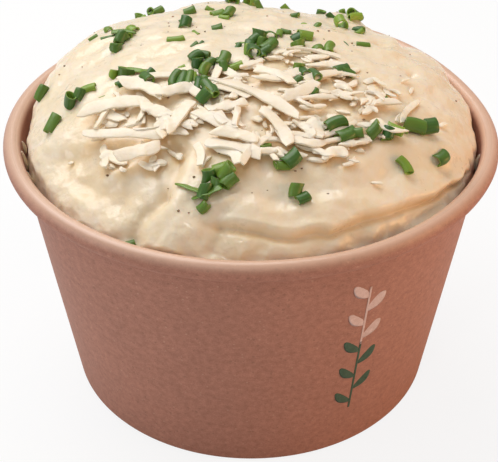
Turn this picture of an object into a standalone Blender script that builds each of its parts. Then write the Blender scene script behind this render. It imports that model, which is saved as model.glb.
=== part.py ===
"""Paper pot heaped with mashed potato and grated hard cheese.

Metres, +Z up. The origin is the centre of the pot's foot, on the surface that the pot stands on,
and -Y is the pot's front. Four solids: the pot's side wall with its rolled rim and folded foot,
the recessed floor disc that the foot fold grips, the mash, and the loose pile of cheese on it.
"""

import math

import bpy
import bmesh
import numpy as np

MM = 0.001

# Driving dimensions of the pot.
RIM_DIAMETER = 115 * MM
FOOT_DIAMETER = 89 * MM
POT_HEIGHT = 66 * MM
BOARD = 0.6 * MM
CURL_WIDTH = 4.1 * MM
CURL_HEIGHT = 4.5 * MM
FLOOR_RECESS = 7 * MM
CLEARANCE = 0.3 * MM
TURNED_STEPS = 56

# Driving dimensions of the food, measured from the rim's top.
MASH_EDGE_DROP = 2.3 * MM
MASH_RISE = 17.2 * MM
DOME_PLAN_POWER = 2.31
DOME_RISE_POWER = 1.5
CHEESE_CENTRE = (1 * MM, -15 * MM)
CHEESE_REACH = (33 * MM, 20 * MM)
CHEESE_DEPTH = 4.2 * MM
CHEESE_EDGE_DEPTH = 1.0 * MM
CHEESE_CLEARANCE = 0.5 * MM

# The wall and the curl, from the sizes above. Radii are of the board's middle line.
FOOT_BEND_RADIUS = 0.45 * MM
FOOT_FOLD_HEIGHT = 6 * MM
CURL_HALF_WIDTH = (CURL_WIDTH - BOARD) / 2
CURL_HALF_HEIGHT = (CURL_HEIGHT - BOARD) / 2
CURL_RADIUS = RIM_DIAMETER / 2 - BOARD / 2 - CURL_HALF_WIDTH
CURL_LEVEL = POT_HEIGHT - BOARD / 2 - CURL_HALF_HEIGHT
CURL_END_ANGLE = -112
CURL_STEPS = 11
WALL_TOP_RADIUS = CURL_RADIUS - CURL_HALF_WIDTH
WALL_FOOT_RADIUS = FOOT_DIAMETER / 2 - BOARD / 2
WALL_FOOT_LEVEL = BOARD / 2 + FOOT_BEND_RADIUS
WALL_LEAN = (WALL_TOP_RADIUS - WALL_FOOT_RADIUS) / (CURL_LEVEL - WALL_FOOT_LEVEL)
LAYER_STEP = BOARD + CLEARANCE

# The mash fills the pot from just above the floor disc to just inside the wall.
MASH_FLOOR = FLOOR_RECESS + BOARD + CLEARANCE
MASH_EDGE_RADIUS = WALL_TOP_RADIUS - BOARD / 2 - CLEARANCE
MASH_EDGE_LEVEL = POT_HEIGHT - MASH_EDGE_DROP
MASH_STEPS = 56
MASH_FLOOR_RINGS = 3
MASH_WALL_RINGS = 2
MASH_DOME_RINGS = 26

# Swells and dips of the dome: centre x, centre y, spread and height, in millimetres.
SWELLS = (
    (-30, 30, 17, 2.2),
    (-8, 36, 12, 1.6),
    (28, 36, 16, -2.2),
    (-30, -30, 9, -1.2),
    (36, -8, 12, 0.8),
    (-52, 4, 9, -2.0),
    (51, 10, 10, -2.4),
)

# The long lip at the front right: bearing, in degrees, against climb up the dome, in degrees.
LIP_BEARINGS = (-112, -96, -80, -62, -46, -34, -20)
LIP_CLIMBS = (34, 25, 18, 18, 19, 13, 6)
LIP_REACH = (-118, -14)
LIP_STEP = 1.5 * MM
LIP_WIDTH = 5.0
LIP_GROOVE = 0.9 * MM
LIP_GROOVE_WIDTH = 3.2

# Creases that run down the front: start and end as (bearing, climb), width in degrees, depth.
CREASES = (
    ((-115, 38), (-119, 10), 3.6, 1.4 * MM),
    ((-97, 34), (-101, 8), 3.0, 0.8 * MM),
)

POT_COLOUR = (0.30, 0.165, 0.095, 1)
FLOOR_COLOUR = (0.36, 0.21, 0.125, 1)
MASH_COLOUR = (0.78, 0.66, 0.43, 1)
CHEESE_COLOUR = (0.86, 0.74, 0.50, 1)


def clear_scene():
    for obj in list(bpy.data.objects):
        bpy.data.objects.remove(obj, do_unlink=True)


def make_collection(name):
    collection = bpy.data.collections.new(name)
    bpy.context.scene.collection.children.link(collection)
    return collection


def make_material(name, colour, roughness):
    material = bpy.data.materials.new(name)
    material.use_nodes = True
    shader = material.node_tree.nodes["Principled BSDF"]
    shader.inputs["Base Color"].default_value = colour
    shader.inputs["Roughness"].default_value = roughness
    shader.inputs["Metallic"].default_value = 0.0
    return material


def add_object(name, mesh, material, collection):
    mesh.materials.append(material)
    obj = bpy.data.objects.new(name, mesh)
    collection.objects.link(obj)
    return obj


def arc(centre, radii, start, end, steps):
    """Points on an ellipse from angle start to angle end, in degrees."""
    angles = np.radians(np.linspace(start, end, steps))
    across = centre[0] + radii[0] * np.cos(angles)
    up = centre[1] + radii[1] * np.sin(angles)
    return np.column_stack([across, up])


def strip_outline(line, thickness):
    """The closed outline of a strip of board of that thickness whose middle follows the line."""
    along = np.gradient(line, axis=0)
    along /= np.linalg.norm(along, axis=1)[:, None]
    across = np.column_stack([-along[:, 1], along[:, 0]]) * thickness / 2
    return np.vstack([line + across, (line - across)[::-1]])


def turned(name, outline, closed, material, collection):
    """A solid of revolution about Z, from an outline of (radius, level) points."""
    mesh = bpy.data.meshes.new(name)
    points = [(radius, 0, level) for radius, level in outline]
    edges = [(i, i + 1) for i in range(len(points) - 1)]
    if closed:
        edges.append((len(points) - 1, 0))
    mesh.from_pydata(points, edges, [])
    obj = add_object(name, mesh, material, collection)
    screw = obj.modifiers.new("Turn", "SCREW")
    screw.steps = TURNED_STEPS
    screw.render_steps = TURNED_STEPS
    screw.use_merge_vertices = True
    screw.merge_threshold = 0.00001
    screw.use_smooth_shade = True
    return obj


def wall_line():
    """The middle line of the wall's board, from the rolled rim's end down to the foot fold's end."""
    curl_centre = (CURL_RADIUS, CURL_LEVEL)
    curl = arc(curl_centre, (CURL_HALF_WIDTH, CURL_HALF_HEIGHT), CURL_END_ANGLE, 180, CURL_STEPS)
    fold_radius = WALL_FOOT_RADIUS - 2 * LAYER_STEP
    bend_radii = (FOOT_BEND_RADIUS, FOOT_BEND_RADIUS)
    outer_bend = arc((WALL_FOOT_RADIUS - FOOT_BEND_RADIUS, WALL_FOOT_LEVEL), bend_radii, 0, -90, 4)
    inner_bend = arc((fold_radius + FOOT_BEND_RADIUS, WALL_FOOT_LEVEL), bend_radii, -90, -180, 4)
    fold_end = (fold_radius + WALL_LEAN * (FOOT_FOLD_HEIGHT - WALL_FOOT_LEVEL), FOOT_FOLD_HEIGHT)
    return np.vstack([curl, outer_bend, inner_bend, [fold_end]])


def floor_outline():
    """Half the floor disc's section: a flat disc with its edge turned down between wall and foot fold."""
    disc_level = FLOOR_RECESS + BOARD / 2
    skirt_end_level = BOARD + CLEARANCE + FOOT_BEND_RADIUS
    skirt_end_radius = WALL_FOOT_RADIUS - LAYER_STEP + WALL_LEAN * (skirt_end_level - WALL_FOOT_LEVEL)
    bend = 1.2 * MM
    corner_radius = WALL_FOOT_RADIUS - LAYER_STEP + WALL_LEAN * (disc_level - bend - WALL_FOOT_LEVEL)
    turn = arc((corner_radius - bend, disc_level - bend), (bend, bend), 0, 90, 5)
    line = np.vstack([[(skirt_end_radius, skirt_end_level)], turn, [(0, disc_level)]])
    outline = strip_outline(line, BOARD)
    outline[np.isclose(outline[:, 0], 0, atol=BOARD / 4), 0] = 0
    half = len(line)
    # The outline starts on the axis, so it is opened there and its two ends stay on the axis.
    return np.vstack([outline[half:], outline[:half]])


def smooth_step(low, high, value):
    share = np.clip((value - low) / (high - low), 0, 1)
    return share * share * (3 - 2 * share)


def distance_to_segment(bearing, climb, start, end):
    """Distance, in degrees on the dome, from each point to the segment between two such points."""
    run = np.subtract(end, start)
    share = ((bearing - start[0]) * run[0] + (climb - start[1]) * run[1]) / (run @ run)
    share = np.clip(share, 0, 1)
    return np.hypot(bearing - start[0] - share * run[0], climb - start[1] - share * run[1])


def dome_relief(x, y, climb):
    """How far the mash stands out of the plain dome: swells and dips, the long lip and the creases."""
    bearing = np.degrees(np.arctan2(y, x))
    relief = np.zeros_like(x)
    for centre_x, centre_y, spread, height in SWELLS:
        away = np.hypot(x / MM - centre_x, y / MM - centre_y) / spread
        relief += height * MM * np.exp(-away * away / 2)
    above_lip = climb - np.interp(bearing, LIP_BEARINGS, LIP_CLIMBS)
    along_lip = smooth_step(LIP_REACH[0], LIP_REACH[0] + 16, bearing)
    along_lip *= 1 - smooth_step(LIP_REACH[1] - 16, LIP_REACH[1], bearing)
    fading = np.exp(-np.maximum(above_lip, 0) / 22)
    step = smooth_step(-LIP_WIDTH, LIP_WIDTH, above_lip) * fading
    groove = np.exp(-((above_lip / LIP_GROOVE_WIDTH) ** 2))
    relief += along_lip * (LIP_STEP * (step - 0.5) - LIP_GROOVE * groove)
    for start, end, width, depth in CREASES:
        away = distance_to_segment(bearing, climb, start, end) / width
        relief -= depth * np.exp(-away * away)
    return relief * smooth_step(0, 9, climb)


def dome_point(bearing, climb):
    """Points of the mash's dome. Bearing and climb are in degrees, climb from 0 at the edge to 90 on top.

    The plain dome is a superellipse in section, and the relief stands out along its normal."""
    turn = np.radians(bearing)
    rise = np.radians(np.clip(climb, 0, 90))
    radius = MASH_EDGE_RADIUS * np.cos(rise) ** (2 / DOME_PLAN_POWER)
    height = (MASH_RISE + MASH_EDGE_DROP) * np.sin(rise) ** (2 / DOME_RISE_POWER)
    slope_out = (radius / MASH_EDGE_RADIUS) ** (DOME_PLAN_POWER - 1) / MASH_EDGE_RADIUS * DOME_PLAN_POWER
    full_height = MASH_RISE + MASH_EDGE_DROP
    slope_up = (height / full_height) ** (DOME_RISE_POWER - 1) / full_height * DOME_RISE_POWER
    length = np.hypot(slope_out, slope_up)
    relief = dome_relief(radius * np.cos(turn), radius * np.sin(turn), climb)
    radius = radius + relief * slope_out / length
    height = height + relief * slope_up / length
    radius = np.minimum(radius, MASH_EDGE_RADIUS)
    return np.stack([radius * np.cos(turn), radius * np.sin(turn), MASH_EDGE_LEVEL + height], axis=-1)


def sphere_mesh(around, rings):
    """A unit sphere, each of its points' ring, numbered from the lowest up, and bearing in degrees."""
    form = bmesh.new()
    bmesh.ops.create_uvsphere(form, u_segments=around, v_segments=rings, radius=1)
    form.verts.ensure_lookup_table()
    places = np.array([vert.co for vert in form.verts])
    ring = np.round((np.arcsin(np.clip(places[:, 2], -1, 1)) / math.pi + 0.5) * rings).astype(int)
    bearing = np.degrees(np.arctan2(places[:, 1], places[:, 0]))
    return form, ring, bearing


def finish_form(name, form, places, material, collection):
    for vert, place in zip(form.verts, places):
        vert.co = place
    bmesh.ops.recalc_face_normals(form, faces=form.faces)
    mesh = bpy.data.meshes.new(name)
    form.to_mesh(mesh)
    form.free()
    mesh.shade_smooth()
    return add_object(name, mesh, material, collection)


def make_mash(material, collection):
    """A sphere whose rings are moved, from the lowest up, to the floor, up the wall and over the dome."""
    rings = MASH_FLOOR_RINGS + MASH_WALL_RINGS + MASH_DOME_RINGS
    form, ring, bearing = sphere_mesh(MASH_STEPS, rings)
    turn = np.radians(bearing)
    floor_radius = MASH_EDGE_RADIUS - WALL_LEAN * (MASH_EDGE_LEVEL - MASH_FLOOR)
    climb = 90 * np.clip((ring - MASH_FLOOR_RINGS - MASH_WALL_RINGS) / MASH_DOME_RINGS, 0, 1)
    places = dome_point(bearing, climb)
    on_floor = ring <= MASH_FLOOR_RINGS
    floor_share = np.clip(ring / MASH_FLOOR_RINGS, 0, 1)
    wall_share = np.clip((ring - MASH_FLOOR_RINGS) / MASH_WALL_RINGS, 0, 1)
    radius = np.where(
        on_floor, floor_radius * floor_share, floor_radius + (MASH_EDGE_RADIUS - floor_radius) * wall_share
    )
    level = np.where(on_floor, MASH_FLOOR, MASH_FLOOR + (MASH_EDGE_LEVEL - MASH_FLOOR) * wall_share)
    under = ring <= MASH_FLOOR_RINGS + MASH_WALL_RINGS
    lower = np.column_stack([radius * np.cos(turn), radius * np.sin(turn), level])
    places[under] = lower[under]
    return finish_form("mash", form, places, material, collection)


def dome_level(x, y):
    """The dome's level above each (x, y), found by stepping the climb until the point lies above it."""
    bearing = np.degrees(np.arctan2(y, x))
    reach = np.hypot(x, y)
    low = np.zeros_like(x)
    high = np.full_like(x, 90.0)
    for _ in range(40):
        middle = (low + high) / 2
        point = dome_point(bearing, middle)
        outside = np.hypot(point[:, 0], point[:, 1]) > reach
        low = np.where(outside, middle, low)
        high = np.where(outside, high, middle)
    return dome_point(bearing, (low + high) / 2)[:, 2]


def make_cheese(material, collection):
    """A low pile with an uneven edge: a sphere pressed onto the mash, its upper half the lumpy top."""
    around, rings = 40, 16
    form, ring, bearing = sphere_mesh(around, rings)
    turn = np.radians(bearing)
    share = np.where(ring <= rings / 2, ring, rings - ring) / (rings / 2)
    edge = 1 + 0.07 * np.cos(3 * turn + 0.6) + 0.06 * np.sin(5 * turn) + 0.04 * np.cos(8 * turn + 2)
    x = CHEESE_CENTRE[0] + CHEESE_REACH[0] * edge * share * np.cos(turn)
    y = CHEESE_CENTRE[1] + CHEESE_REACH[1] * edge * share * np.sin(turn)
    under = dome_level(x, y) + CHEESE_CLEARANCE
    broad_lumps = 0.22 * np.sin(x / (3.1 * MM) + 1) * np.cos(y / (2.7 * MM))
    fine_lumps = 0.12 * np.sin(x / (1.9 * MM) + y / (2.3 * MM))
    lumps = 1 + broad_lumps + fine_lumps
    rounded = np.sqrt(np.clip(1 - share**2.4, 0, 1))
    depth = (CHEESE_EDGE_DEPTH + (CHEESE_DEPTH - CHEESE_EDGE_DEPTH) * rounded * lumps) * (share < 1)
    rim_lift = np.where(share == 1, CHEESE_EDGE_DEPTH / 2, 0)
    level = under + rim_lift + np.where(ring > rings / 2, depth, 0)
    return finish_form("grated_cheese", form, np.column_stack([x, y, level]), material, collection)


def build():
    clear_scene()
    collection = make_collection("mash_pot")
    board = make_material("kraft_board", POT_COLOUR, 0.65)
    floor_board = make_material("floor_board", FLOOR_COLOUR, 0.7)
    mash = make_material("mashed_potato", MASH_COLOUR, 0.45)
    cheese = make_material("hard_cheese", CHEESE_COLOUR, 0.55)
    turned("pot_wall", strip_outline(wall_line(), BOARD), True, board, collection)
    turned("pot_floor", floor_outline(), False, floor_board, collection)
    make_mash(mash, collection)
    make_cheese(cheese, collection)


build()
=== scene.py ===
"""Looks of the pot of mashed potato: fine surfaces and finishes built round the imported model.

Metres, +Z up, the same frame as the model. Lengths in the tables below are millimetres where
they say so. Every surface is a function of two parameters, computed as whole arrays.
"""

import itertools
import math

import bpy
import numpy as np
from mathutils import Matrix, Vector


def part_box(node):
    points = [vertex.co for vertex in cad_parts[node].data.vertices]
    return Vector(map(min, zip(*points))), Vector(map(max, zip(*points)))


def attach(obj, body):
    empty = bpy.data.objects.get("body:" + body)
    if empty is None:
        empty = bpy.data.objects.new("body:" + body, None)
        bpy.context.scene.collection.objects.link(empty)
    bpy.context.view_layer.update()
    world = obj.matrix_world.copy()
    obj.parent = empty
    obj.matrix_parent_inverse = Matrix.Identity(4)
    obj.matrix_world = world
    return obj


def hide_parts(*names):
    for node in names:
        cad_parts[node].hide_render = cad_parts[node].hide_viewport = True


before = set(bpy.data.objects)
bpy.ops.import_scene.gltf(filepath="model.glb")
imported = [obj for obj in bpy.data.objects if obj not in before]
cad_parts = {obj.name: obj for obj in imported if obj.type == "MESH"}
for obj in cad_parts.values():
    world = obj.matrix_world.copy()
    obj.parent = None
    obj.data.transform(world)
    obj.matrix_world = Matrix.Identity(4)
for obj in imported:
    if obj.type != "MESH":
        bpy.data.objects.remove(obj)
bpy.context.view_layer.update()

MM = 0.001

# ---------------------------------------------------------------------------------------------
# Sizes: the pot and the food, from the model's boxes and the design's own few numbers.

WALL_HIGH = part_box("pot_wall")[1]
MASH_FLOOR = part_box("mash")[0].z
RIM_RADIUS = WALL_HIGH.x
POT_HEIGHT = WALL_HIGH.z
FOOT_RADIUS = 44.5 * MM
BOARD = 0.6 * MM
CURL_HALF_WIDTH = 1.75 * MM
CURL_HALF_HEIGHT = 1.95 * MM
FOOT_BEND = 0.45 * MM
FOOT_FOLD_HEIGHT = 6 * MM
FOLD_GAP = 0.3 * MM
CURL_RADIUS = RIM_RADIUS - BOARD / 2 - CURL_HALF_WIDTH
CURL_LEVEL = POT_HEIGHT - BOARD / 2 - CURL_HALF_HEIGHT
WALL_TOP_RADIUS = CURL_RADIUS - CURL_HALF_WIDTH
WALL_FOOT_RADIUS = FOOT_RADIUS - BOARD / 2
WALL_FOOT_LEVEL = BOARD / 2 + FOOT_BEND
WALL_LEAN = (WALL_TOP_RADIUS - WALL_FOOT_RADIUS) / (CURL_LEVEL - WALL_FOOT_LEVEL)

MASH_EDGE_RADIUS = WALL_TOP_RADIUS - BOARD / 2 - FOLD_GAP
MASH_EDGE_DROP = 2.3 * MM
MASH_RISE = 17.2 * MM
MASH_EDGE_LEVEL = POT_HEIGHT - MASH_EDGE_DROP
# The pot is a little out of round: bearing and half-width of the pressed part, and its depth.
PRESSED_BEARING = 23
PRESSED_HALF_WIDTH = 22
PRESSED_DEPTH = 1.3 * MM
DOME_PLAN_POWER = 2.31
DOME_RISE_POWER = 1.5

# ---------------------------------------------------------------------------------------------
# The mash's forms. Swells: centre x, centre y, spread and height, all in millimetres.

SWELLS = (
    (-39, 26, 12, 3.1),
    (-14, 36, 10, 1.2),
    (9, 38, 8, -0.9),
    (24, 38, 4.5, 1.6),
    (32, 31, 6, -1.4),
    (47, 20, 9, 0.9),
    (-30, -30, 9, -1.2),
    (36, -8, 12, 0.8),
)
# Where the mash stands off the wall: bearing, half-width in degrees, and gap in millimetres.
EDGE_GAPS = ((184, 30, 1.5), (-12, 20, 0.7), (-62, 10, 0.5), (45, 26, 1.3), (95, 24, 0.6))
EDGE_GAP_DEPTH = 3.5 * MM

# The long lip: bearing and climb, in degrees, of the line under the upper lobe.
LIP_BEARINGS = (-112, -98, -88, -79, -71, -62, -52, -41, -35, -27, -14)
LIP_CLIMBS = (30, 25, 23, 20, 18.5, 20.5, 20, 16, 13, 8, 4)
LIP_REACH = (-106, -18)
LIP_STEP = 1.8 * MM
LIP_GROOVE = 1.5 * MM
LIP_GROOVE_WIDTH = 2.2

# Folds and ridges: points as (bearing, climb) in degrees, width and height in millimetres.
FOLDS = (
    (((-158, 14), (-157, 24), (-153, 33), (-146, 40), (-138, 47)), 2.3, 0.9),
    (((-149, 33), (-143, 28), (-134, 26), (-125, 27)), 4.2, -2.0),
    (((-122, 53), (-126, 45), (-129, 38), (-131, 33)), 2.4, 1.3),
    (((-121, 53), (-115, 51), (-114, 42), (-114, 35)), 1.9, -1.5),
    (((-114, 35), (-115, 27), (-116, 18), (-118, 9)), 1.7, -1.5),
    (((-110, 34), (-108, 24), (-108, 14)), 3.4, 0.7),
    (((-95, 33), (-97, 27), (-98, 20), (-99, 12)), 1.5, -1.0),
    (((-101, 36), (-95, 34), (-88, 32), (-80, 31), (-72, 32), (-66, 33)), 1.9, 0.75),
    (((-60, 42), (-47, 45), (-39, 42), (-31, 37), (-27, 29)), 2.4, 0.8),
    (((-62, 36), (-48, 36), (-38, 32), (-32, 26)), 2.6, -0.7),
    (((170, 30), (160, 44), (146, 52)), 2.6, 0.7),
    (((168, 22), (154, 34), (138, 40), (122, 42)), 2.8, -0.9),
    (((118, 24), (100, 32), (84, 34), (66, 28)), 2.6, -1.0),
    (((112, 32), (96, 42), (78, 43)), 2.8, 0.8),
    (((54, 20), (40, 32), (26, 42)), 2.4, -0.9),
    (((48, 34), (34, 44), (18, 52)), 2.4, 0.7),
    (((20, 14), (12, 26), (4, 34), (-6, 42)), 2.4, -0.7),
)
FOLD_SHARE = 0.85
# Small pits and knobs: bearing, climb, spread and height in millimetres.
DIMPLES = (
    (1, 49, 1.5, -1.3),
    (4, 55, 1.3, 0.7),
    (-6, 45, 1.4, 0.6),
    (-117, 52, 2.0, -1.0),
    (-70, 11, 2.4, 0.8),
    (-60, 12, 2.0, 0.7),
    (-82, 13, 3.0, 0.5),
    (24, 55, 1.6, -0.6),
    (-158, 55, 1.8, -0.5),
)
# Lumps over the whole dome: size and height in millimetres.
LUMPS = ((12.0, 0.75), (6.0, 0.46), (2.8, 0.2), (1.3, 0.07))

MASH_GRID = 296
SKIRT_ROWS = 7
NOISE_PERIOD = 24

# ---------------------------------------------------------------------------------------------
# The toppings, in millimetres and degrees.

# Outline of the pile of cheese, as points round it.
CHEESE_OUTLINE = (
    (-37, -22), (-28, -35), (-14, -36), (3, -38), (20, -35), (30, -26), (36, -18),
    (31, -10), (20, -2), (8, 2), (-4, -3), (-12, -8), (-22, -9), (-31, -12),
)
# Long shreds, from the lowest to the topmost: start, end, width, sideways bow and twist.
LONG_SHREDS = (
    ((-37, -18), (-22, -16.5), 3.2, 0.5, 4),
    ((-19, -31), (-28, -34.5), 3.2, 0.6, -6),
    ((-9.5, -32), (2, -37), 3.4, 0.8, 8),
    ((-24, -18), (-17, -23), 3.0, -0.5, 12),
    ((-19.5, -23), (-17.5, -28), 2.6, 0.3, -8),
    ((-3, -22.5), (-3.5, -29.5), 1.5, 0.2, 0),
    ((-36, -23), (-18, -29), 2.3, -1.0, 12),
    ((13, -32.5), (21, -29), 1.1, 0.4, 16),
    ((19, -31.5), (24.5, -29), 1.5, -0.2, 0),
    ((14.5, -34.5), (20, -33.5), 2.8, 0.2, 8),
    ((1, -34.5), (5, -36), 1.6, 0.2, 0),
    ((12, -25), (14, -30), 3.2, 0.4, -10),
    ((9, -25), (13, -31), 2.0, 0.4, 8),
    ((18, -13), (22, -14.5), 1.6, 0.2, 0),
    ((26, -17.5), (32, -16), 1.8, 0.4, 6),
    ((-2.5, -7.5), (2.5, -4.5), 2.0, 0.3, 8),
    ((9, -19.5), (18, -17.5), 1.3, 0.4, 10),
    ((10.5, -21.5), (16, -20), 1.2, -0.3, 0),
    ((8, 0.5), (20, -2), 2.0, 0.8, 10),
    ((1, -8), (9, -14.5), 2.2, 0.8, -12),
    ((7, -19), (14, -12.5), 3.0, -1.2, -26),
    ((-12, -23.5), (-4, -30), 3.0, 0.6, 12),
    ((-8, -30), (1.5, -33), 2.6, 0.6, -10),
    ((2, -22.5), (8, -34), 2.8, 0.9, 14),
    ((-9.5, -23.5), (-1, -20.5), 2.6, -0.6, 10),
    ((-20, -18), (-12.5, -15.5), 2.8, 0.9, 14),
    ((-29, -9.5), (-19, -17.5), 3.3, 1.0, -14),
    ((-12, -20), (-17.5, -29.5), 3.0, -0.6, 14),
    ((-8, -12), (10, -25.5), 2.8, 1.0, 18),
)
BASE_SHREDS = 30
TOP_SHREDS = 5
CRUMBS = 200
STRAY_CRUMBS = 30
CHEESE_DEPTH = 1.0 * MM
CHIVE_DEPTH = 0.8 * MM

# Cut chives seen one by one: x, y, yaw of the axis, tilt up from lying, length, radius, tone.
SINGLE_CHIVES = (
    (-44, -13.5, 62, 8, 4.6, 1.4, 0.35),
    (-40.5, -8.5, 20, 50, 2.8, 1.8, 0.1),
    (-38.5, -7.5, 60, 15, 2.6, 1.4, 0.15),
    (-36.5, -6, 8, 4, 3.6, 1.2, 0.9),
    (-33, -9.5, 10, 0, 1.6, 0.6, 0.8),
    (-30.5, -9, 0, 0, 2.2, 0.6, 0.1),
    (-49, 3, 60, 10, 4.0, 1.3, 0.3),
    (-37.5, 17, 10, 0, 2.4, 0.8, 0.35),
    (-33.5, 15, 5, 0, 4.2, 0.7, 0.25),
    (-29.5, 13.5, -50, 20, 2.4, 1.1, 0.7),
    (-30.5, 11.5, 60, 25, 3.0, 1.4, 0.15),
    (-31.5, 8.5, 80, 55, 2.2, 1.6, 0.2),
    (-27.5, 7.5, 0, 0, 1.6, 0.7, 0.55),
    (-28, -4, 80, 50, 1.8, 2.0, 0.2),
    (-31, -3.5, 60, 40, 2.0, 1.2, 0.85),
    (-28, -7, 10, 0, 4.0, 1.1, 0.0),
    (-23, -9.5, -60, 10, 3.6, 1.5, 0.15),
    (-22.5, -6.5, 50, 15, 2.2, 1.0, 0.1),
    (-19, 26.5, 5, 0, 2.6, 0.6, 0.5),
    (-15, 27, 25, 10, 3.0, 1.3, 0.3),
    (-15.5, 17, 75, 35, 3.0, 1.5, 0.05),
    (-16, 19.5, 20, 20, 2.2, 1.1, 0.1),
    (-13, 12.5, -60, 0, 2.8, 0.8, 0.75),
    (-12, 22, 30, 0, 1.0, 0.5, 0.9),
    (-8, 24.5, 20, 8, 3.2, 1.3, 0.6),
    (-5.5, 23.5, 60, 30, 2.8, 1.5, 0.35),
    (-6.5, 21.5, -20, 5, 2.6, 1.0, 0.8),
    (-8, 15.5, 15, 10, 2.6, 1.2, 0.25),
    (-2, 24, 0, 0, 1.0, 0.5, 0.8),
    (-17.5, 9, 5, 3, 3.8, 1.25, 0.75),
    (-13, 5.5, 40, 15, 2.0, 0.7, 0.2),
    (-11.5, 6, 60, 20, 1.6, 0.6, 0.1),
    (-15.5, 0.5, 0, 0, 1.6, 0.6, 0.6),
    (-12.5, -2, 20, 20, 3.0, 1.5, 0.1),
    (-10.5, -1.5, -20, 10, 2.6, 1.2, 0.15),
    (-12, -5, 80, 55, 2.4, 1.5, 0.0),
    (-15.5, -4.5, 0, 10, 1.8, 0.7, 0.95),
    (-17, -11, 72, 8, 4.6, 1.1, 0.2),
    (-15, -11.5, 80, 10, 5.2, 1.25, 0.15),
    (-13.5, -11.5, 83, 10, 5.0, 0.95, 0.35),
    (-12.5, -10.5, 95, 5, 3.0, 0.8, 0.9),
    (-10.5, -8.5, 70, 20, 3.2, 1.3, 0.45),
    (-9.5, -6, 50, 35, 2.6, 1.3, 0.2),
    (-11.5, -13.5, 85, 15, 4.2, 1.0, 0.05),
    (-10, -12, 100, 50, 2.0, 1.2, 0.25),
    (-9, -16, -65, 10, 4.6, 1.5, 0.15),
    (-8, -17, -75, 20, 3.0, 1.2, 0.1),
    (-10, -19.5, 20, 35, 3.2, 1.7, 0.1),
    (-8.5, -4.5, 20, 5, 3.2, 0.9, 0.1),
    (-6, -5, 60, 20, 3.6, 1.5, 0.3),
    (-6, -7.5, 100, 25, 2.6, 1.1, 0.2),
    (-3.5, -6.5, 8, 5, 3.6, 1.1, 0.9),
    (-2.5, 6, 5, 0, 2.4, 0.7, 0.7),
    (-3, 4, 60, 35, 1.8, 0.8, 0.1),
    (2, 9, 80, 60, 1.8, 1.8, 0.15),
    (4.5, 8.5, -75, 15, 1.4, 1.5, 0.2),
    (0.5, 6.5, 40, 20, 3.0, 1.2, 0.1),
    (-0.5, 3, 85, 20, 3.4, 1.2, 0.05),
    (2.5, 5.5, 60, 55, 2.2, 1.4, 0.35),
    (4, 3, 50, 12, 4.4, 1.6, 0.25),
    (3, 0, 20, 20, 3.0, 1.3, 0.15),
    (0.5, -1, -88, 15, 2.4, 1.7, 0.05),
    (-1, 0.5, 85, 25, 3.0, 0.8, 0.8),
    (2.5, -1.5, -60, 10, 2.0, 0.9, 0.1),
    (6.5, 10, 80, 8, 3.0, 0.9, 0.6),
    (8, 11.5, -20, 5, 2.6, 0.8, 0.3),
    (6.5, 6, 0, 0, 1.0, 0.5, 0.1),
    (10.5, 8, 15, 25, 2.6, 1.3, 0.0),
    (12.5, 8.5, 3, 3, 3.4, 1.6, 0.7),
    (10.5, 4, 88, 60, 1.4, 1.9, 0.5),
    (12.5, 19, 0, 0, 1.4, 0.8, 1.0),
    (15.5, 17.5, 60, 25, 1.6, 0.9, 0.4),
    (10.5, 24, 10, 20, 2.0, 0.9, 0.2),
    (15, 2, -85, 5, 1.6, 1.7, 0.45),
    (16.5, 1.5, 70, 20, 2.0, 0.9, 0.05),
    (17.5, 3, 80, 15, 3.6, 1.2, 0.6),
    (22, 9.5, -60, 0, 2.4, 0.6, 0.1),
    (26, 10.5, 5, 3, 3.2, 1.0, 0.45),
    (26, 21, -30, 15, 2.6, 1.1, 0.05),
    (20, -6, 30, 8, 3.4, 1.4, 0.1),
    (21.5, -6.5, -25, 5, 3.0, 1.1, 0.2),
    (18, -3, -45, 0, 1.8, 0.6, 0.1),
    (10.5, -6.5, 60, 50, 2.0, 1.4, 0.5),
    (11.5, -9, -70, 12, 3.0, 1.2, 0.05),
    (10, -11.5, 20, 10, 2.0, 1.0, 0.2),
    (14, -9.5, -70, 15, 4.0, 1.3, 0.1),
    (13.5, -16, 40, 8, 2.0, 1.0, 0.2),
    (29.5, -13, -30, 0, 1.4, 0.6, 0.5),
    (17.5, -26, 25, 12, 4.2, 1.8, 0.15),
    (20, -28.5, 30, 10, 4.2, 1.8, 0.2),
    (22, -28, -10, 25, 3.0, 1.3, 0.3),
    (26, -26, 35, 30, 3.4, 1.6, 0.25),
    (29, -26, 70, 30, 2.8, 1.4, 0.0),
    (30.5, -24.5, -28, 6, 3.8, 1.2, 0.95),
    (32.5, -22, 0, 0, 2.2, 0.9, 0.8),
    (35, -21, 4, 8, 4.6, 1.9, 0.35),
    (38.5, -20, 14, 25, 3.2, 2.0, 0.1),
    (32.5, -31, -50, 5, 4.0, 1.2, 0.7),
    (41, -25.5, 42, 8, 3.2, 1.6, 0.2),
    (3, -33.5, 92, 70, 1.6, 1.5, 0.45),
    (8.5, -36.5, 35, 15, 3.8, 1.8, 0.1),
    (6.5, -37.5, 2, 4, 3.0, 1.15, 0.5),
    (9, -42, 70, 30, 2.8, 1.6, 0.35),
    (10.5, -43.5, 20, 10, 2.6, 1.4, 0.1),
    (-25, -46.5, 10, 5, 2.6, 0.9, 0.3),
    (-6, -38.5, 0, 10, 3.6, 1.5, 0.65),
    (-8.5, -40, 75, 50, 2.6, 1.6, 0.1),
    (-5, -40, 20, 25, 3.4, 1.7, 0.45),
    (-4.5, -41.5, 30, 8, 3.4, 1.5, 0.3),
    (-7, -42, 80, 20, 2.6, 1.4, 0.2),
    (-9.5, -43.5, 60, 20, 3.2, 1.5, 0.1),
    (-9.5, -46, 20, 10, 2.4, 1.2, 0.35),
)
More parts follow.
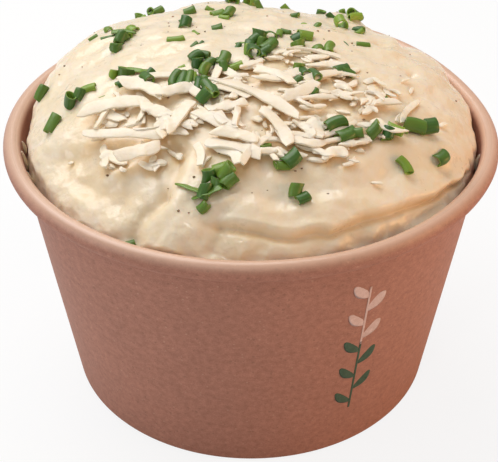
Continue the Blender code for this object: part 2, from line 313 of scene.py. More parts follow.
# Clumps of chives: x, y, reach across, reach deep and count.
CHIVE_CLUMPS = (
    (-4, 41, 6.0, 3.0, 4),
    (22, 38, 6.0, 3.0, 4),
    (-26, 38, 6.0, 3.0, 4),
)
STRAY_CHIVES = 9

PEPPER_GRAINS = 85

SEED = 11


def smooth_step(low, high, value):
    """0 below low, 1 above high, and the cubic 3t^2 - 2t^3 between them."""
    share = np.clip((value - low) / (high - low), 0, 1)
    return share * share * (3 - 2 * share)


def soft_noise(points, cell, seed):
    """Gradient noise of about -1 to 1.

    Space is a lattice of cells, and each lattice corner holds a random slope. A point's value is
    the blend of its cell's eight slopes, each followed from its corner to the point."""
    slopes = np.random.default_rng(seed).normal(size=(NOISE_PERIOD,) * 3 + (3,))
    slopes /= np.linalg.norm(slopes, axis=-1, keepdims=True)
    place = points / cell
    base = np.floor(place).astype(int)
    part = place - base
    fade = part**3 * (part * (part * 6 - 15) + 10)
    total = np.zeros(points.shape[:-1])
    for corner in itertools.product((0, 1), repeat=3):
        index = (base + corner) % NOISE_PERIOD
        slope = slopes[index[..., 0], index[..., 1], index[..., 2]]
        weight = np.prod(np.where(corner, fade, 1 - fade), axis=-1)
        total += weight * ((part - corner) * slope).sum(-1)
    return 1.7 * total


def pressed_in(bearing, level):
    """How far the pressed part of the pot stands in, at a bearing in degrees and a level."""
    away = ((bearing - PRESSED_BEARING + 180) % 360 - 180) / PRESSED_HALF_WIDTH
    return PRESSED_DEPTH * np.exp(-away * away) * smooth_step(0.01, POT_HEIGHT, level)


def distance_to_line(points, line):
    """Each point's distance to a line of straight runs: the least over its runs."""
    nearest = np.full(points.shape[:-1], np.inf)
    for start, end in zip(line[:-1], line[1:]):
        run = end - start
        share = np.clip(((points - start) @ run) / (run @ run), 0, 1)
        away = np.linalg.norm(points - start - share[..., None] * run, axis=-1)
        nearest = np.minimum(nearest, away)
    return nearest


# ---------------------------------------------------------------------------------------------
# Meshes from arrays.


def grid_faces(rows, columns, wrap_rows=False, wrap_columns=False):
    """Quads between the points of a grid of rows by columns, numbered row by row."""
    row = np.arange(rows if wrap_rows else rows - 1)[:, None]
    column = np.arange(columns if wrap_columns else columns - 1)[None, :]
    next_row = (row + 1) % rows
    next_column = (column + 1) % columns
    corners = (
        row * columns + column,
        row * columns + next_column,
        next_row * columns + next_column,
        next_row * columns + column,
    )
    return np.stack(np.broadcast_arrays(*corners), axis=-1).reshape(-1, 4)


def fan_faces(ring, centre):
    """Triangles from each pair of neighbours on a closed ring of point numbers to a centre point."""
    return np.column_stack([ring, np.roll(ring, -1), np.full(len(ring), centre)])


def build_mesh(name, points, faces):
    """A mesh from an array of points and a list of arrays of faces, each with its own corner count."""
    mesh = bpy.data.meshes.new(name)
    corners = np.concatenate([block.ravel() for block in faces]).astype(np.int32)
    sizes = np.concatenate([np.full(len(block), block.shape[1]) for block in faces])
    starts = np.concatenate([[0], np.cumsum(sizes)[:-1]]).astype(np.int32)
    mesh.vertices.add(len(points))
    mesh.vertices.foreach_set("co", np.asarray(points, np.float32).ravel())
    mesh.loops.add(len(corners))
    mesh.loops.foreach_set("vertex_index", corners)
    mesh.polygons.add(len(sizes))
    mesh.polygons.foreach_set("loop_start", starts)
    mesh.update(calc_edges=True)
    mesh.validate()
    mesh.shade_smooth()
    return mesh


def add_value(mesh, name, values):
    """A named number at each point of the mesh, for its material to read."""
    layer = mesh.attributes.new(name, "FLOAT", "POINT")
    layer.data.foreach_set("value", np.asarray(values, np.float32))


def add_uv(mesh, across, along):
    """A UV map whose U and V are numbers kept at each point."""
    layer = mesh.uv_layers.new(name="surface")
    corner = np.zeros(len(mesh.loops), np.int32)
    mesh.loops.foreach_get("vertex_index", corner)
    layer.data.foreach_set("uv", np.column_stack([across[corner], along[corner]]).astype(np.float32).ravel())


def add_piece(name, mesh, material, node=None):
    """A finished piece of the object, which rides on its one body and may stand for a CAD node."""
    mesh.materials.append(material)
    piece = bpy.data.objects.new(name, mesh)
    bpy.context.scene.collection.objects.link(piece)
    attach(piece, "root")
    if node:
        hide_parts(node)
    return piece


def join_parts(parts):
    """Joins (points, face blocks, values) of many small shapes into one set of arrays.

    values is a dictionary of arrays with one number for each point."""
    offset = 0
    all_points, all_faces, all_values = [], {}, {}
    for points, blocks, values in parts:
        all_points.append(points)
        for block in blocks:
            all_faces.setdefault(block.shape[1], []).append(block + offset)
        for key, value in values.items():
            all_values.setdefault(key, []).append(np.broadcast_to(value, len(points)))
        offset += len(points)
    faces = [np.concatenate(blocks) for blocks in all_faces.values()]
    values = {key: np.concatenate(value) for key, value in all_values.items()}
    return np.concatenate(all_points), faces, values


def unit(vectors):
    return vectors / np.maximum(np.linalg.norm(vectors, axis=-1, keepdims=True), 1e-12)


def swept_strip(centre, side, half_width, half_thickness, around=10, squareness=2.6, slants=(0, 0)):
    """A flat closed strip carried along a line.

    Its section is a superellipse, half_width across and half_thickness deep, in the plane of the
    side direction and the strip's own normal. The ends are slanted, by moving points along the line
    in proportion to their place across it, and close in a fan."""
    along = unit(np.gradient(centre, axis=0))
    side = unit(side - (side * along).sum(-1, keepdims=True) * along)
    normal = np.cross(along, side)
    angle = np.linspace(0, 2 * math.pi, around, endpoint=False)
    power = 2 / squareness
    across = np.sign(np.cos(angle)) * np.abs(np.cos(angle)) ** power
    deep = np.sign(np.sin(angle)) * np.abs(np.sin(angle)) ** power
    rings = (
        centre[:, None]
        + side[:, None] * (half_width[:, None] * across)[..., None]
        + normal[:, None] * (half_thickness[:, None] * deep)[..., None]
    )
    rows = len(centre)
    share = np.linspace(0, 1, rows)
    slant = slants[0] * np.clip(1 - 3 * share, 0, 1) + slants[1] * np.clip(3 * share - 2, 0, 1)
    rings = rings + along[:, None] * (slant[:, None] * half_width[:, None] * across)[..., None]
    points = np.concatenate([rings.reshape(-1, 3), centre[[0, -1]]])
    first = np.arange(around)
    last = first + (rows - 1) * around
    blocks = [
        grid_faces(rows, around, wrap_columns=True)[:, ::-1],
        fan_faces(first, rows * around),
        fan_faces(last[::-1], rows * around + 1),
    ]
    return points, blocks


# ---------------------------------------------------------------------------------------------
# Node trees.


def wire(tree, source, target):
    tree.links.new(source, target)


def add_node(tree, kind, links=None, **values):
    """A node of that kind. Values name its properties, or its sockets with spaces as underscores.

    Links is a dictionary from the node's input, by name or number, to another node's output."""
    node = tree.nodes.new(kind)
    for key, value in values.items():
        if key in node.bl_rna.properties:
            setattr(node, key, value)
        else:
            node.inputs[key.replace("_", " ")].default_value = value
    for key, source in (links or {}).items():
        wire(tree, source, node.inputs[key])
    return node


def mixed(tree, factor, first, second, blend="MIX"):
    """The colour output of a Mix node between two colours, each an output or a plain colour."""
    node = tree.nodes.new("ShaderNodeMix")
    node.data_type = "RGBA"
    node.blend_type = blend
    for socket, value in ((node.inputs[0], factor), (node.inputs[6], first), (node.inputs[7], second)):
        if isinstance(value, bpy.types.NodeSocket):
            wire(tree, value, socket)
        else:
            socket.default_value = value
    return node.outputs[2]


def calculated(tree, operation, *values, clamp=False):
    """The output of a Math node on outputs or plain numbers."""
    node = tree.nodes.new("ShaderNodeMath")
    node.operation = operation
    node.use_clamp = clamp
    for socket, value in zip(node.inputs, values):
        if isinstance(value, bpy.types.NodeSocket):
            wire(tree, value, socket)
        else:
            socket.default_value = value
    return node.outputs[0]


def ranged(tree, value, low, high, to_low=0.0, to_high=1.0):
    """The value moved from the range low..high to the range to_low..to_high, and clamped."""
    node = add_node(tree, "ShaderNodeMapRange", {0: value})
    for number, setting in zip((1, 2, 3, 4), (low, high, to_low, to_high)):
        node.inputs[number].default_value = setting
    return node.outputs[0]


def new_group(name, inputs, outputs):
    """An empty shader node group with named sockets, and its input and output nodes."""
    group = bpy.data.node_groups.new(name, "ShaderNodeTree")
    for label, kind, value in inputs:
        socket = group.interface.new_socket(name=label, in_out="INPUT", socket_type="NodeSocket" + kind)
        if value is not None:
            socket.default_value = value
    for label, kind in outputs:
        group.interface.new_socket(name=label, in_out="OUTPUT", socket_type="NodeSocket" + kind)
    return group, group.nodes.new("NodeGroupInput"), group.nodes.new("NodeGroupOutput")


def make_mottle_group():
    """Soft uneven colour: two layers of noise, a broad one and one four times finer."""
    group, given, result = new_group(
        "soft_mottle",
        (
            ("Vector", "Vector", None),
            ("Cells per Metre", "Float", 100.0),
            ("Contrast", "Float", 1.0),
            ("Light Colour", "Color", (1, 1, 1, 1)),
            ("Dark Colour", "Color", (0, 0, 0, 1)),
        ),
        (("Colour", "Color"), ("Mask", "Float")),
    )
    broad = add_node(group, "ShaderNodeTexNoise", {"Vector": given.outputs[0], "Scale": given.outputs[1]})
    finer = calculated(group, "MULTIPLY", given.outputs[1], 4.3)
    fine = add_node(group, "ShaderNodeTexNoise", {"Vector": given.outputs[0], "Scale": finer}, Detail=3.0)
    half_broad = calculated(group, "MULTIPLY", broad.outputs[0], 0.5)
    blend = calculated(group, "MULTIPLY_ADD", fine.outputs[0], 0.5, half_broad)
    centred = calculated(group, "MULTIPLY", calculated(group, "SUBTRACT", blend, 0.5), given.outputs[2])
    mask = calculated(group, "MULTIPLY_ADD", centred, 3.0, 0.5, clamp=True)
    wire(group, mixed(group, mask, given.outputs[4], given.outputs[3]), result.inputs[0])
    wire(group, mask, result.inputs[1])
    return group


def make_speck_group():
    """Scattered specks: a spot in some of the cells of a cell pattern, chosen by the cell's number."""
    group, given, result = new_group(
        "scattered_specks",
        (
            ("Vector", "Vector", None),
            ("Cells per Metre", "Float", 300.0),
            ("Spot Size", "Float", 0.2),
            ("Share", "Float", 0.2),
        ),
        (("Mask", "Float"),),
    )
    cells = add_node(group, "ShaderNodeTexVoronoi", {"Vector": given.outputs[0], "Scale": given.outputs[1]})
    parts = add_node(group, "ShaderNodeSeparateColor", {0: cells.outputs["Color"]})
    chosen = calculated(group, "LESS_THAN", parts.outputs[0], given.outputs[3])
    uneven = calculated(group, "MULTIPLY_ADD", parts.outputs[1], 0.8, 0.4)
    size = calculated(group, "MULTIPLY", given.outputs[2], uneven)
    inside = calculated(group, "SUBTRACT", size, cells.outputs["Distance"])
    spot = calculated(group, "MULTIPLY", calculated(group, "DIVIDE", inside, size), 2.5, clamp=True)
    wire(group, calculated(group, "MULTIPLY", spot, chosen), result.inputs[0])
    return group


def make_grain_group():
    """Fine relief as a height in metres: a coarse and a fine noise, each with its own depth."""
    group, given, result = new_group(
        "fine_grain",
        (
            ("Vector", "Vector", None),
            ("Coarse per Metre", "Float", 400.0),
            ("Coarse Depth", "Float", 0.0001),
            ("Fine per Metre", "Float", 1600.0),
            ("Fine Depth", "Float", 0.00003),
        ),
        (("Height", "Float"),),
    )
    coarse_links = {"Vector": given.outputs[0], "Scale": given.outputs[1]}
    coarse = add_node(group, "ShaderNodeTexNoise", coarse_links, Detail=2.0)
    fine_links = {"Vector": given.outputs[0], "Scale": given.outputs[3]}
    fine = add_node(group, "ShaderNodeTexNoise", fine_links, Detail=2.0)
    low = calculated(group, "MULTIPLY", coarse.outputs[0], given.outputs[2])
    wire(group, calculated(group, "MULTIPLY_ADD", fine.outputs[0], given.outputs[4], low), result.inputs[0])
    return group


def placed_group(tree, group, vector, **values):
    """A group node in a material, fed that vector, with its own values."""
    node = tree.nodes.new("ShaderNodeGroup")
    node.node_tree = group
    wire(tree, vector, node.inputs["Vector"])
    for key, value in values.items():
        node.inputs[key.replace("_", " ")].default_value = value
    return node


def new_material(name):
    """A material with its shader and an object-coordinate output ready to use."""
    material = bpy.data.materials.new(name)
    material.use_nodes = True
    tree = material.node_tree
    shader = tree.nodes["Principled BSDF"]
    place = tree.nodes.new("ShaderNodeTexCoord").outputs["Object"]
    return material, tree, shader, place


def read_value(tree, name):
    return add_node(tree, "ShaderNodeAttribute", attribute_name=name).outputs["Fac"]


def bumped(tree, shader, height, strength=1.0):
    """Feeds a height in metres to the shader's normal."""
    bump = add_node(tree, "ShaderNodeBump", {"Height": height}, Strength=strength, Distance=1.0)
    wire(tree, bump.outputs[0], shader.inputs["Normal"])


def set_sockets(shader, **values):
    for key, value in values.items():
        shader.inputs[key.replace("_", " ")].default_value = value


MOTTLE = make_mottle_group()
SPECKS = make_speck_group()
GRAIN = make_grain_group()


def make_board_material():
    """Brown kraft board: short fibres lying round the pot, pale and dark flecks, and a painted highlight
    that makes the top of the rolled rim paler.
    """
    material, tree, shader, place = new_material("kraft_board")
    surface = tree.nodes.new("ShaderNodeUVMap")
    surface.uv_map = "surface"
    fibres = add_node(tree, "ShaderNodeMapping", {"Vector": surface.outputs[0]}, Scale=(0.85, 1.0, 1.0))
    body = placed_group(
        tree, MOTTLE, fibres.outputs[0], Cells_per_Metre=760.0, Contrast=1.15,
        Light_Colour=(0.50, 0.222, 0.15, 1), Dark_Colour=(0.36, 0.147, 0.095, 1),
    )
    cloudy = placed_group(
        tree, MOTTLE, place, Cells_per_Metre=60.0, Contrast=0.7,
        Light_Colour=(1, 1, 1, 1), Dark_Colour=(0.86, 0.85, 0.84, 1),
    )
    colour = mixed(tree, 1.0, body.outputs[0], cloudy.outputs[0], "MULTIPLY")
    dark = placed_group(tree, SPECKS, fibres.outputs[0], Cells_per_Metre=1100.0, Spot_Size=0.36, Share=0.2)
    pale = placed_group(tree, SPECKS, fibres.outputs[0], Cells_per_Metre=1200.0, Spot_Size=0.3, Share=0.14)
    dark_share = calculated(tree, "MULTIPLY", dark.outputs[0], 0.4)
    pale_share = calculated(tree, "MULTIPLY", pale.outputs[0], 0.25)
    colour = mixed(tree, dark_share, colour, (0.19, 0.09, 0.055, 1))
    colour = mixed(tree, pale_share, colour, (0.66, 0.43, 0.31, 1))
    # Painted highlight: the top of the rolled rim is mixed towards a pale colour, where the overhead light
    # falls on it.
    rim = read_value(tree, "rim")
    colour = mixed(tree, calculated(tree, "MULTIPLY", rim, 0.8), colour, (0.76, 0.52, 0.38, 1))
    wire(tree, colour, shader.inputs["Base Color"])
    wire(tree, ranged(tree, rim, 0, 1, 0.6, 0.27), shader.inputs["Roughness"])
    grain = placed_group(
        tree, GRAIN, fibres.outputs[0], Coarse_per_Metre=900.0, Coarse_Depth=0.00005,
        Fine_per_Metre=2600.0, Fine_Depth=0.00002,
    )
    bumped(tree, shader, grain.outputs[0], 0.8)
    return material


def make_floor_board_material():
    """The floor disc's board, seen only from below."""
    material, tree, shader, place = new_material("floor_board")
    body = placed_group(
        tree, MOTTLE, place, Cells_per_Metre=300.0, Contrast=1.1,
        Light_Colour=(0.47, 0.28, 0.19, 1), Dark_Colour=(0.34, 0.19, 0.12, 1),
    )
    wire(tree, body.outputs[0], shader.inputs["Base Color"])
    set_sockets(shader, Roughness=0.65)
    grain = placed_group(tree, GRAIN, place, Coarse_per_Metre=900.0, Coarse_Depth=0.00005)
    bumped(tree, shader, grain.outputs[0], 0.8)
    return material


def make_mash_material():
    """Creamy mash: a pale body with painted golden shade in its folds and under the cheese, a moist uneven
    sheen and fine grains.
    """
    material, tree, shader, place = new_material("mashed_potato")
    body = placed_group(
        tree, MOTTLE, place, Cells_per_Metre=95.0, Contrast=0.8,
        Light_Colour=(0.91, 0.785, 0.62, 1), Dark_Colour=(0.86, 0.70, 0.465, 1),
    )
    # Painted shade: a dark gold is mixed in by the value read here, in the folds and under the cheese.
    painted_shade = read_value(tree, "painted_shade")
    colour = mixed(tree, calculated(tree, "MULTIPLY", painted_shade, 0.85), body.outputs[0], (0.78, 0.52, 0.22, 1))
    grey = placed_group(tree, SPECKS, place, Cells_per_Metre=330.0, Spot_Size=0.09, Share=0.16)
    colour = mixed(tree, calculated(tree, "MULTIPLY", grey.outputs[0], 0.55), colour, (0.36, 0.24, 0.13, 1))
    wire(tree, colour, shader.inputs["Base Color"])
    damp = placed_group(
        tree, MOTTLE, place, Cells_per_Metre=160.0, Contrast=1.4,
        Light_Colour=(1, 1, 1, 1), Dark_Colour=(0, 0, 0, 1),
    )
    wire(tree, ranged(tree, damp.outputs[1], 0, 1, 0.26, 0.5), shader.inputs["Roughness"])
    set_sockets(
        shader, Subsurface_Weight=0.25, Subsurface_Scale=0.003,
        Subsurface_Radius=(1.0, 0.7, 0.4), Coat_Weight=0.4, Coat_Roughness=0.14,
    )
    grain = placed_group(
        tree, GRAIN, place, Coarse_per_Metre=520.0, Coarse_Depth=0.00022,
        Fine_per_Metre=1500.0, Fine_Depth=0.00007,
    )
    bumped(tree, shader, grain.outputs[0], 0.8)
    return material


def make_cheese_material(name, light, dark):
    """Hard cheese: waxy, slightly translucent, with a torn grain along its cut faces."""
    material, tree, shader, place = new_material(name)
    body = placed_group(
        tree, MOTTLE, place, Cells_per_Metre=260.0, Contrast=0.9, Light_Colour=light, Dark_Colour=dark
    )
    tone = read_value(tree, "tone")
    colour = mixed(tree, calculated(tree, "MULTIPLY", tone, 0.5), body.outputs[0], (0.88, 0.78, 0.64, 1))
    wire(tree, colour, shader.inputs["Base Color"])
    set_sockets(
        shader, Roughness=0.42, Subsurface_Weight=0.15, Subsurface_Scale=0.0012,
        Subsurface_Radius=(1.0, 0.75, 0.45),
    )
    grain = placed_group(
        tree, GRAIN, place, Coarse_per_Metre=1300.0, Coarse_Depth=0.00012,
        Fine_per_Metre=3200.0, Fine_Depth=0.00004,
    )
    bumped(tree, shader, grain.outputs[0], 0.7)
    return material


def make_chive_material():
    """Chives: deep to light green skin with fine lengthwise veins, and a pale wet cut edge and inside."""
    material, tree, shader, place = new_material("chives")
    surface = tree.nodes.new("ShaderNodeUVMap")
    surface.uv_map = "surface"
    veins = add_node(tree, "ShaderNodeTexNoise", {"Vector": surface.outputs[0]}, Scale=1.0, Detail=2.0)
    tone = read_value(tree, "tone")
    inner = read_value(tree, "inner")
    skin = mixed(tree, tone, (0.016, 0.082, 0.010, 1), (0.27, 0.40, 0.03, 1))
    veined = mixed(tree, ranged(tree, veins.outputs[0], 0.35, 0.7, 0.0, 0.4), skin, (0.11, 0.25, 0.03, 1))
    colour = mixed(tree, inner, veined, (0.27, 0.44, 0.06, 1))
    wire(tree, colour, shader.inputs["Base Color"])
    set_sockets(shader, Roughness=0.36, Subsurface_Weight=0.12, Subsurface_Scale=0.001)
    height = calculated(tree, "MULTIPLY", veins.outputs[0], 0.00006)
    bumped(tree, shader, height, 0.8)
    return material


def make_pepper_material():
    """Ground pepper: brown to black grains."""
    material, tree, shader, place = new_material("pepper")
    body = placed_group(
        tree, MOTTLE, place, Cells_per_Metre=900.0, Contrast=1.6,
        Light_Colour=(0.42, 0.26, 0.13, 1), Dark_Colour=(0.14, 0.075, 0.035, 1),
    )
    wire(tree, body.outputs[0], shader.inputs["Base Color"])
    set_sockets(shader, Roughness=0.6)
    return material


def make_ink_material(name, light, dark):
    """Printed ink that lets a little of the board's grain through."""
    material, tree, shader, place = new_material(name)
    body = placed_group(
        tree, MOTTLE, place, Cells_per_Metre=800.0, Contrast=1.2, Light_Colour=light, Dark_Colour=dark
    )
    wire(tree, body.outputs[0], shader.inputs["Base Color"])
    set_sockets(shader, Roughness=0.55)
    return material


# ---------------------------------------------------------------------------------------------
# The paper pot.

WALL_STEPS = 288
SEAM_BEARING = 128
SEAM_WIDTH = 7 * MM
SEAM_STEP = 0.22 * MM


def arc(centre, radii, start, end, steps):
    """Points on an ellipse from angle start to angle end, in degrees."""
    angles = np.radians(np.linspace(start, end, steps))
    return np.column_stack([centre[0] + radii[0] * np.cos(angles), centre[1] + radii[1] * np.sin(angles)])


def wall_profile():
    """The board's middle line as (radius, level), and its painted highlight: 1 on top of the roll, 0 below.
    """
    start, end, steps = -112, 180, 34
    roll_angles = np.linspace(start, end, steps)
    roll = arc((CURL_RADIUS, CURL_LEVEL), (CURL_HALF_WIDTH, CURL_HALF_HEIGHT), start, end, steps)
    fold_radius = WALL_FOOT_RADIUS - 2 * (BOARD + FOLD_GAP)
    levels = np.linspace(CURL_LEVEL, WALL_FOOT_LEVEL, 16)[1:-1]
    side = np.column_stack([WALL_FOOT_RADIUS + WALL_LEAN * (levels - WALL_FOOT_LEVEL), levels])
    bends = (FOOT_BEND, FOOT_BEND)
    outer_bend = arc((WALL_FOOT_RADIUS - FOOT_BEND, WALL_FOOT_LEVEL), bends, 0, -90, 5)
    inner_bend = arc((fold_radius + FOOT_BEND, WALL_FOOT_LEVEL), bends, -90, -180, 5)
    fold_end = (fold_radius + WALL_LEAN * (FOOT_FOLD_HEIGHT - WALL_FOOT_LEVEL), FOOT_FOLD_HEIGHT)
    line = np.vstack([roll, side, outer_bend, inner_bend, [fold_end]])
    # Painted highlight on top of the roll, fading out towards its outer side and gone below.
    pale = smooth_step(0, 85, roll_angles) * (1 - smooth_step(120, 180, roll_angles))
    rim = np.concatenate([pale, np.zeros(len(line) - len(roll))])
    return line, rim


def make_pot_wall(material):
    """The wall: the outline of the bent board carried round the axis, with a lapped seam down its back.

    The outline is the middle line moved half the board's thickness to each side. The lap adds a
    step outwards over the seam's width, and the board is very slightly out of round."""
    line, rim = wall_profile()
    along = unit(np.gradient(line, axis=0))
    across = np.column_stack([-along[:, 1], along[:, 0]]) * BOARD / 2
    outline = np.vstack([line + across, (line - across)[::-1]])
    rim = np.concatenate([rim, rim[::-1]])
    rows = len(outline)
    turn = np.linspace(0, 2 * math.pi, WALL_STEPS, endpoint=False)[None, :]
    radius, level = outline[:, 0:1], outline[:, 1:2]
    from_seam = (np.degrees(turn) - SEAM_BEARING + 180) % 360 - 180
    half_seam = np.degrees(SEAM_WIDTH / 2 / radius)
    lap = smooth_step(-half_seam - 0.3, -half_seam + 0.3, from_seam)
    lap = lap * (1 - smooth_step(half_seam, half_seam + 2.0, from_seam))
    wave = 0.12 * MM * np.sin(3 * turn + 0.7) + 0.07 * MM * np.sin(5 * turn + 2.0)
    wave = wave * smooth_step(0.02, POT_HEIGHT, level)
    radius = radius + lap * SEAM_STEP * (1 - 0.6 * rim[:, None]) - np.abs(wave)
    radius = radius - pressed_in(np.degrees(turn), level)
    points = np.stack([radius * np.cos(turn), radius * np.sin(turn), level + 0 * turn], axis=-1)
    faces = grid_faces(rows, WALL_STEPS, True, True)[:, ::-1]
    mesh = build_mesh("paper_wall", points.reshape(-1, 3), [faces])
    steps = np.linalg.norm(np.diff(outline, axis=0), axis=1)
    run = np.concatenate([[0], np.cumsum(steps)])[:, None]
    add_value(mesh, "rim", (rim[:, None] + 0 * turn).ravel())
    layer = mesh.uv_layers.new(name="surface")
    corner = np.zeros(len(mesh.loops), np.int32)
    mesh.loops.foreach_get("vertex_index", corner)
    row, column = corner // WALL_STEPS, corner % WALL_STEPS
    face_start = np.repeat(column.reshape(-1, 4).max(axis=1), 4)
    column = np.where((face_start == WALL_STEPS - 1) & (column == 0), WALL_STEPS, column)
    uv = np.column_stack([column / WALL_STEPS * 2 * math.pi * WALL_TOP_RADIUS, run[row, 0]])
    layer.data.foreach_set("uv", uv.astype(np.float32).ravel())
    return add_piece("paper_wall", mesh, material, "pot_wall")


# ---------------------------------------------------------------------------------------------
# The mash.


def dome_base(bearing, climb):
    """The plain dome at a bearing and a climb from 0, at the edge, to 90, on top, in degrees.

    In section it is a superellipse. Gives the points and the unit normals."""
    turn = np.radians(bearing)
    rise = np.radians(np.clip(climb, 0, 90))
    full_height = MASH_RISE + MASH_EDGE_DROP
    radius = MASH_EDGE_RADIUS * np.cos(rise) ** (2 / DOME_PLAN_POWER)
    height = full_height * np.sin(rise) ** (2 / DOME_RISE_POWER)
    out = (radius / MASH_EDGE_RADIUS) ** (DOME_PLAN_POWER - 1) * DOME_PLAN_POWER / MASH_EDGE_RADIUS
    up = (height / full_height) ** (DOME_RISE_POWER - 1) * DOME_RISE_POWER / full_height
    points = np.stack([radius * np.cos(turn), radius * np.sin(turn), MASH_EDGE_LEVEL + height], axis=-1)
    normals = np.stack([out * np.cos(turn), out * np.sin(turn), up], axis=-1)
    return points, unit(normals)


def on_dome(pairs):
    pairs = np.array(pairs, float)
    return dome_base(pairs[:, 0], pairs[:, 1])[0]


def fold_relief(points, bearing, climb):
    """Sharp forms of the mash: the lip with its groove, the folds and ridges, and the dimples."""
    above = climb - np.interp(bearing, LIP_BEARINGS, LIP_CLIMBS)
    waver = soft_noise(points, 6 * MM, SEED + 1)
    above = above + 2.2 * waver
    lip = smooth_step(LIP_REACH[0], LIP_REACH[0] + 14, bearing)
    lip = lip * (1 - smooth_step(LIP_REACH[1] - 12, LIP_REACH[1], bearing))
    lobe = smooth_step(-1.5, 4.5, above) * np.exp(-np.maximum(above, 0) / 20)
    groove = np.exp(-(((above + 0.5) / LIP_GROOVE_WIDTH) ** 2))
    relief = lip * (LIP_STEP * (lobe - 0.35) - LIP_GROOVE * groove)
    warped = points + 1.1 * MM * np.stack(
        [soft_noise(points, 7 * MM, SEED + number) for number in (2, 3, 4)], axis=-1
    )
    for line, width, height in FOLDS:
        away = distance_to_line(warped, on_dome(line)) / (width * MM)
        relief = relief + FOLD_SHARE * height * MM * np.exp(-(away**2))
    for dimple_bearing, dimple_climb, spread, height in DIMPLES:
        centre = on_dome([(dimple_bearing, dimple_climb)])[0]
        away = np.linalg.norm(warped - centre, axis=-1) / (spread * MM)
        relief = relief + height * MM * np.exp(-(away**2))
    return relief


def lump_relief(points):
    """Lumps of the mash, from broad to fine, as layers of noise."""
    relief = np.zeros(points.shape[:-1])
    for number, (size, height) in enumerate(LUMPS):
        relief += height * MM * soft_noise(points, size * MM, SEED + 20 + number)
    return relief


def swell_relief(points):
    relief = np.zeros(points.shape[:-1])
    for centre_x, centre_y, spread, height in SWELLS:
        away = np.hypot(points[..., 0] / MM - centre_x, points[..., 1] / MM - centre_y) / spread
        relief += height * MM * np.exp(-away * away / 2)
    return relief


def edge_gap(bearing, points):
    """How far the mash stands off the wall at a bearing."""
    gap = np.zeros(bearing.shape)
    for centre, half_width, size in EDGE_GAPS:
        away = (bearing - centre + 180) % 360 - 180
        gap += size * MM * np.exp(-((away / half_width) ** 4))
    uneven = 0.5 * MM * np.abs(soft_noise(points, 5 * MM, SEED + 9))
    gap = gap * (1 + 0.25 * soft_noise(points, 9 * MM, SEED + 8)) + uneven
    return gap + pressed_in(bearing, POT_HEIGHT)


def mash_surface(bearing, climb):
    """Points of the finished dome, and the painted shade of each point: more the deeper it lies in a fold.

    The relief stands out along the plain dome's normal, and the edge is drawn in from the wall."""
    base, normal = dome_base(bearing, climb)
    sharp = fold_relief(base, bearing, climb)
    fading = smooth_step(0, 9, climb)
    relief = (swell_relief(base) + lump_relief(base) + sharp) * fading
    points = base + relief[..., None] * normal
    radius = np.hypot(points[..., 0], points[..., 1])
    gap = edge_gap(bearing, base)
    drawn_in = np.minimum(radius, MASH_EDGE_RADIUS) - gap * (1 - smooth_step(0, 34, climb))
    turn = np.radians(bearing)
    points[..., 0] = drawn_in * np.cos(turn)
    points[..., 1] = drawn_in * np.sin(turn)
    points[..., 2] -= 0.8 * gap * (1 - smooth_step(0, 12, climb))
    # Painted shade: a darker golden colour, more the deeper a point lies in a sharp fold.
    painted_shade = 0.32 * np.clip(-sharp * fading / (1.6 * MM), 0, 1)
    return points, painted_shade


def dome_grid(count):
    """Bearings and climbs of a square grid bent onto the dome, with its squares kept nearly even.

    Each square ring of the grid becomes a round ring: the larger of the two coordinates is the
    ring's radius, and their ratio gives the angle."""
    line = np.linspace(-1, 1, count)
    across, deep = np.meshgrid(line, line)
    wide = np.abs(across) > np.abs(deep)
    safe_across = np.where(across == 0, 1, across)
    safe_deep = np.where(deep == 0, 1, deep)
    ring = np.where(wide, across, deep)
    angle = np.where(wide, math.pi / 4 * deep / safe_across, math.pi / 2 - math.pi / 4 * across / safe_deep)
    x, y = ring * np.cos(angle), ring * np.sin(angle)
    return np.degrees(np.arctan2(y, x)), 90 * (1 - np.clip(np.hypot(x, y), 0, 1))


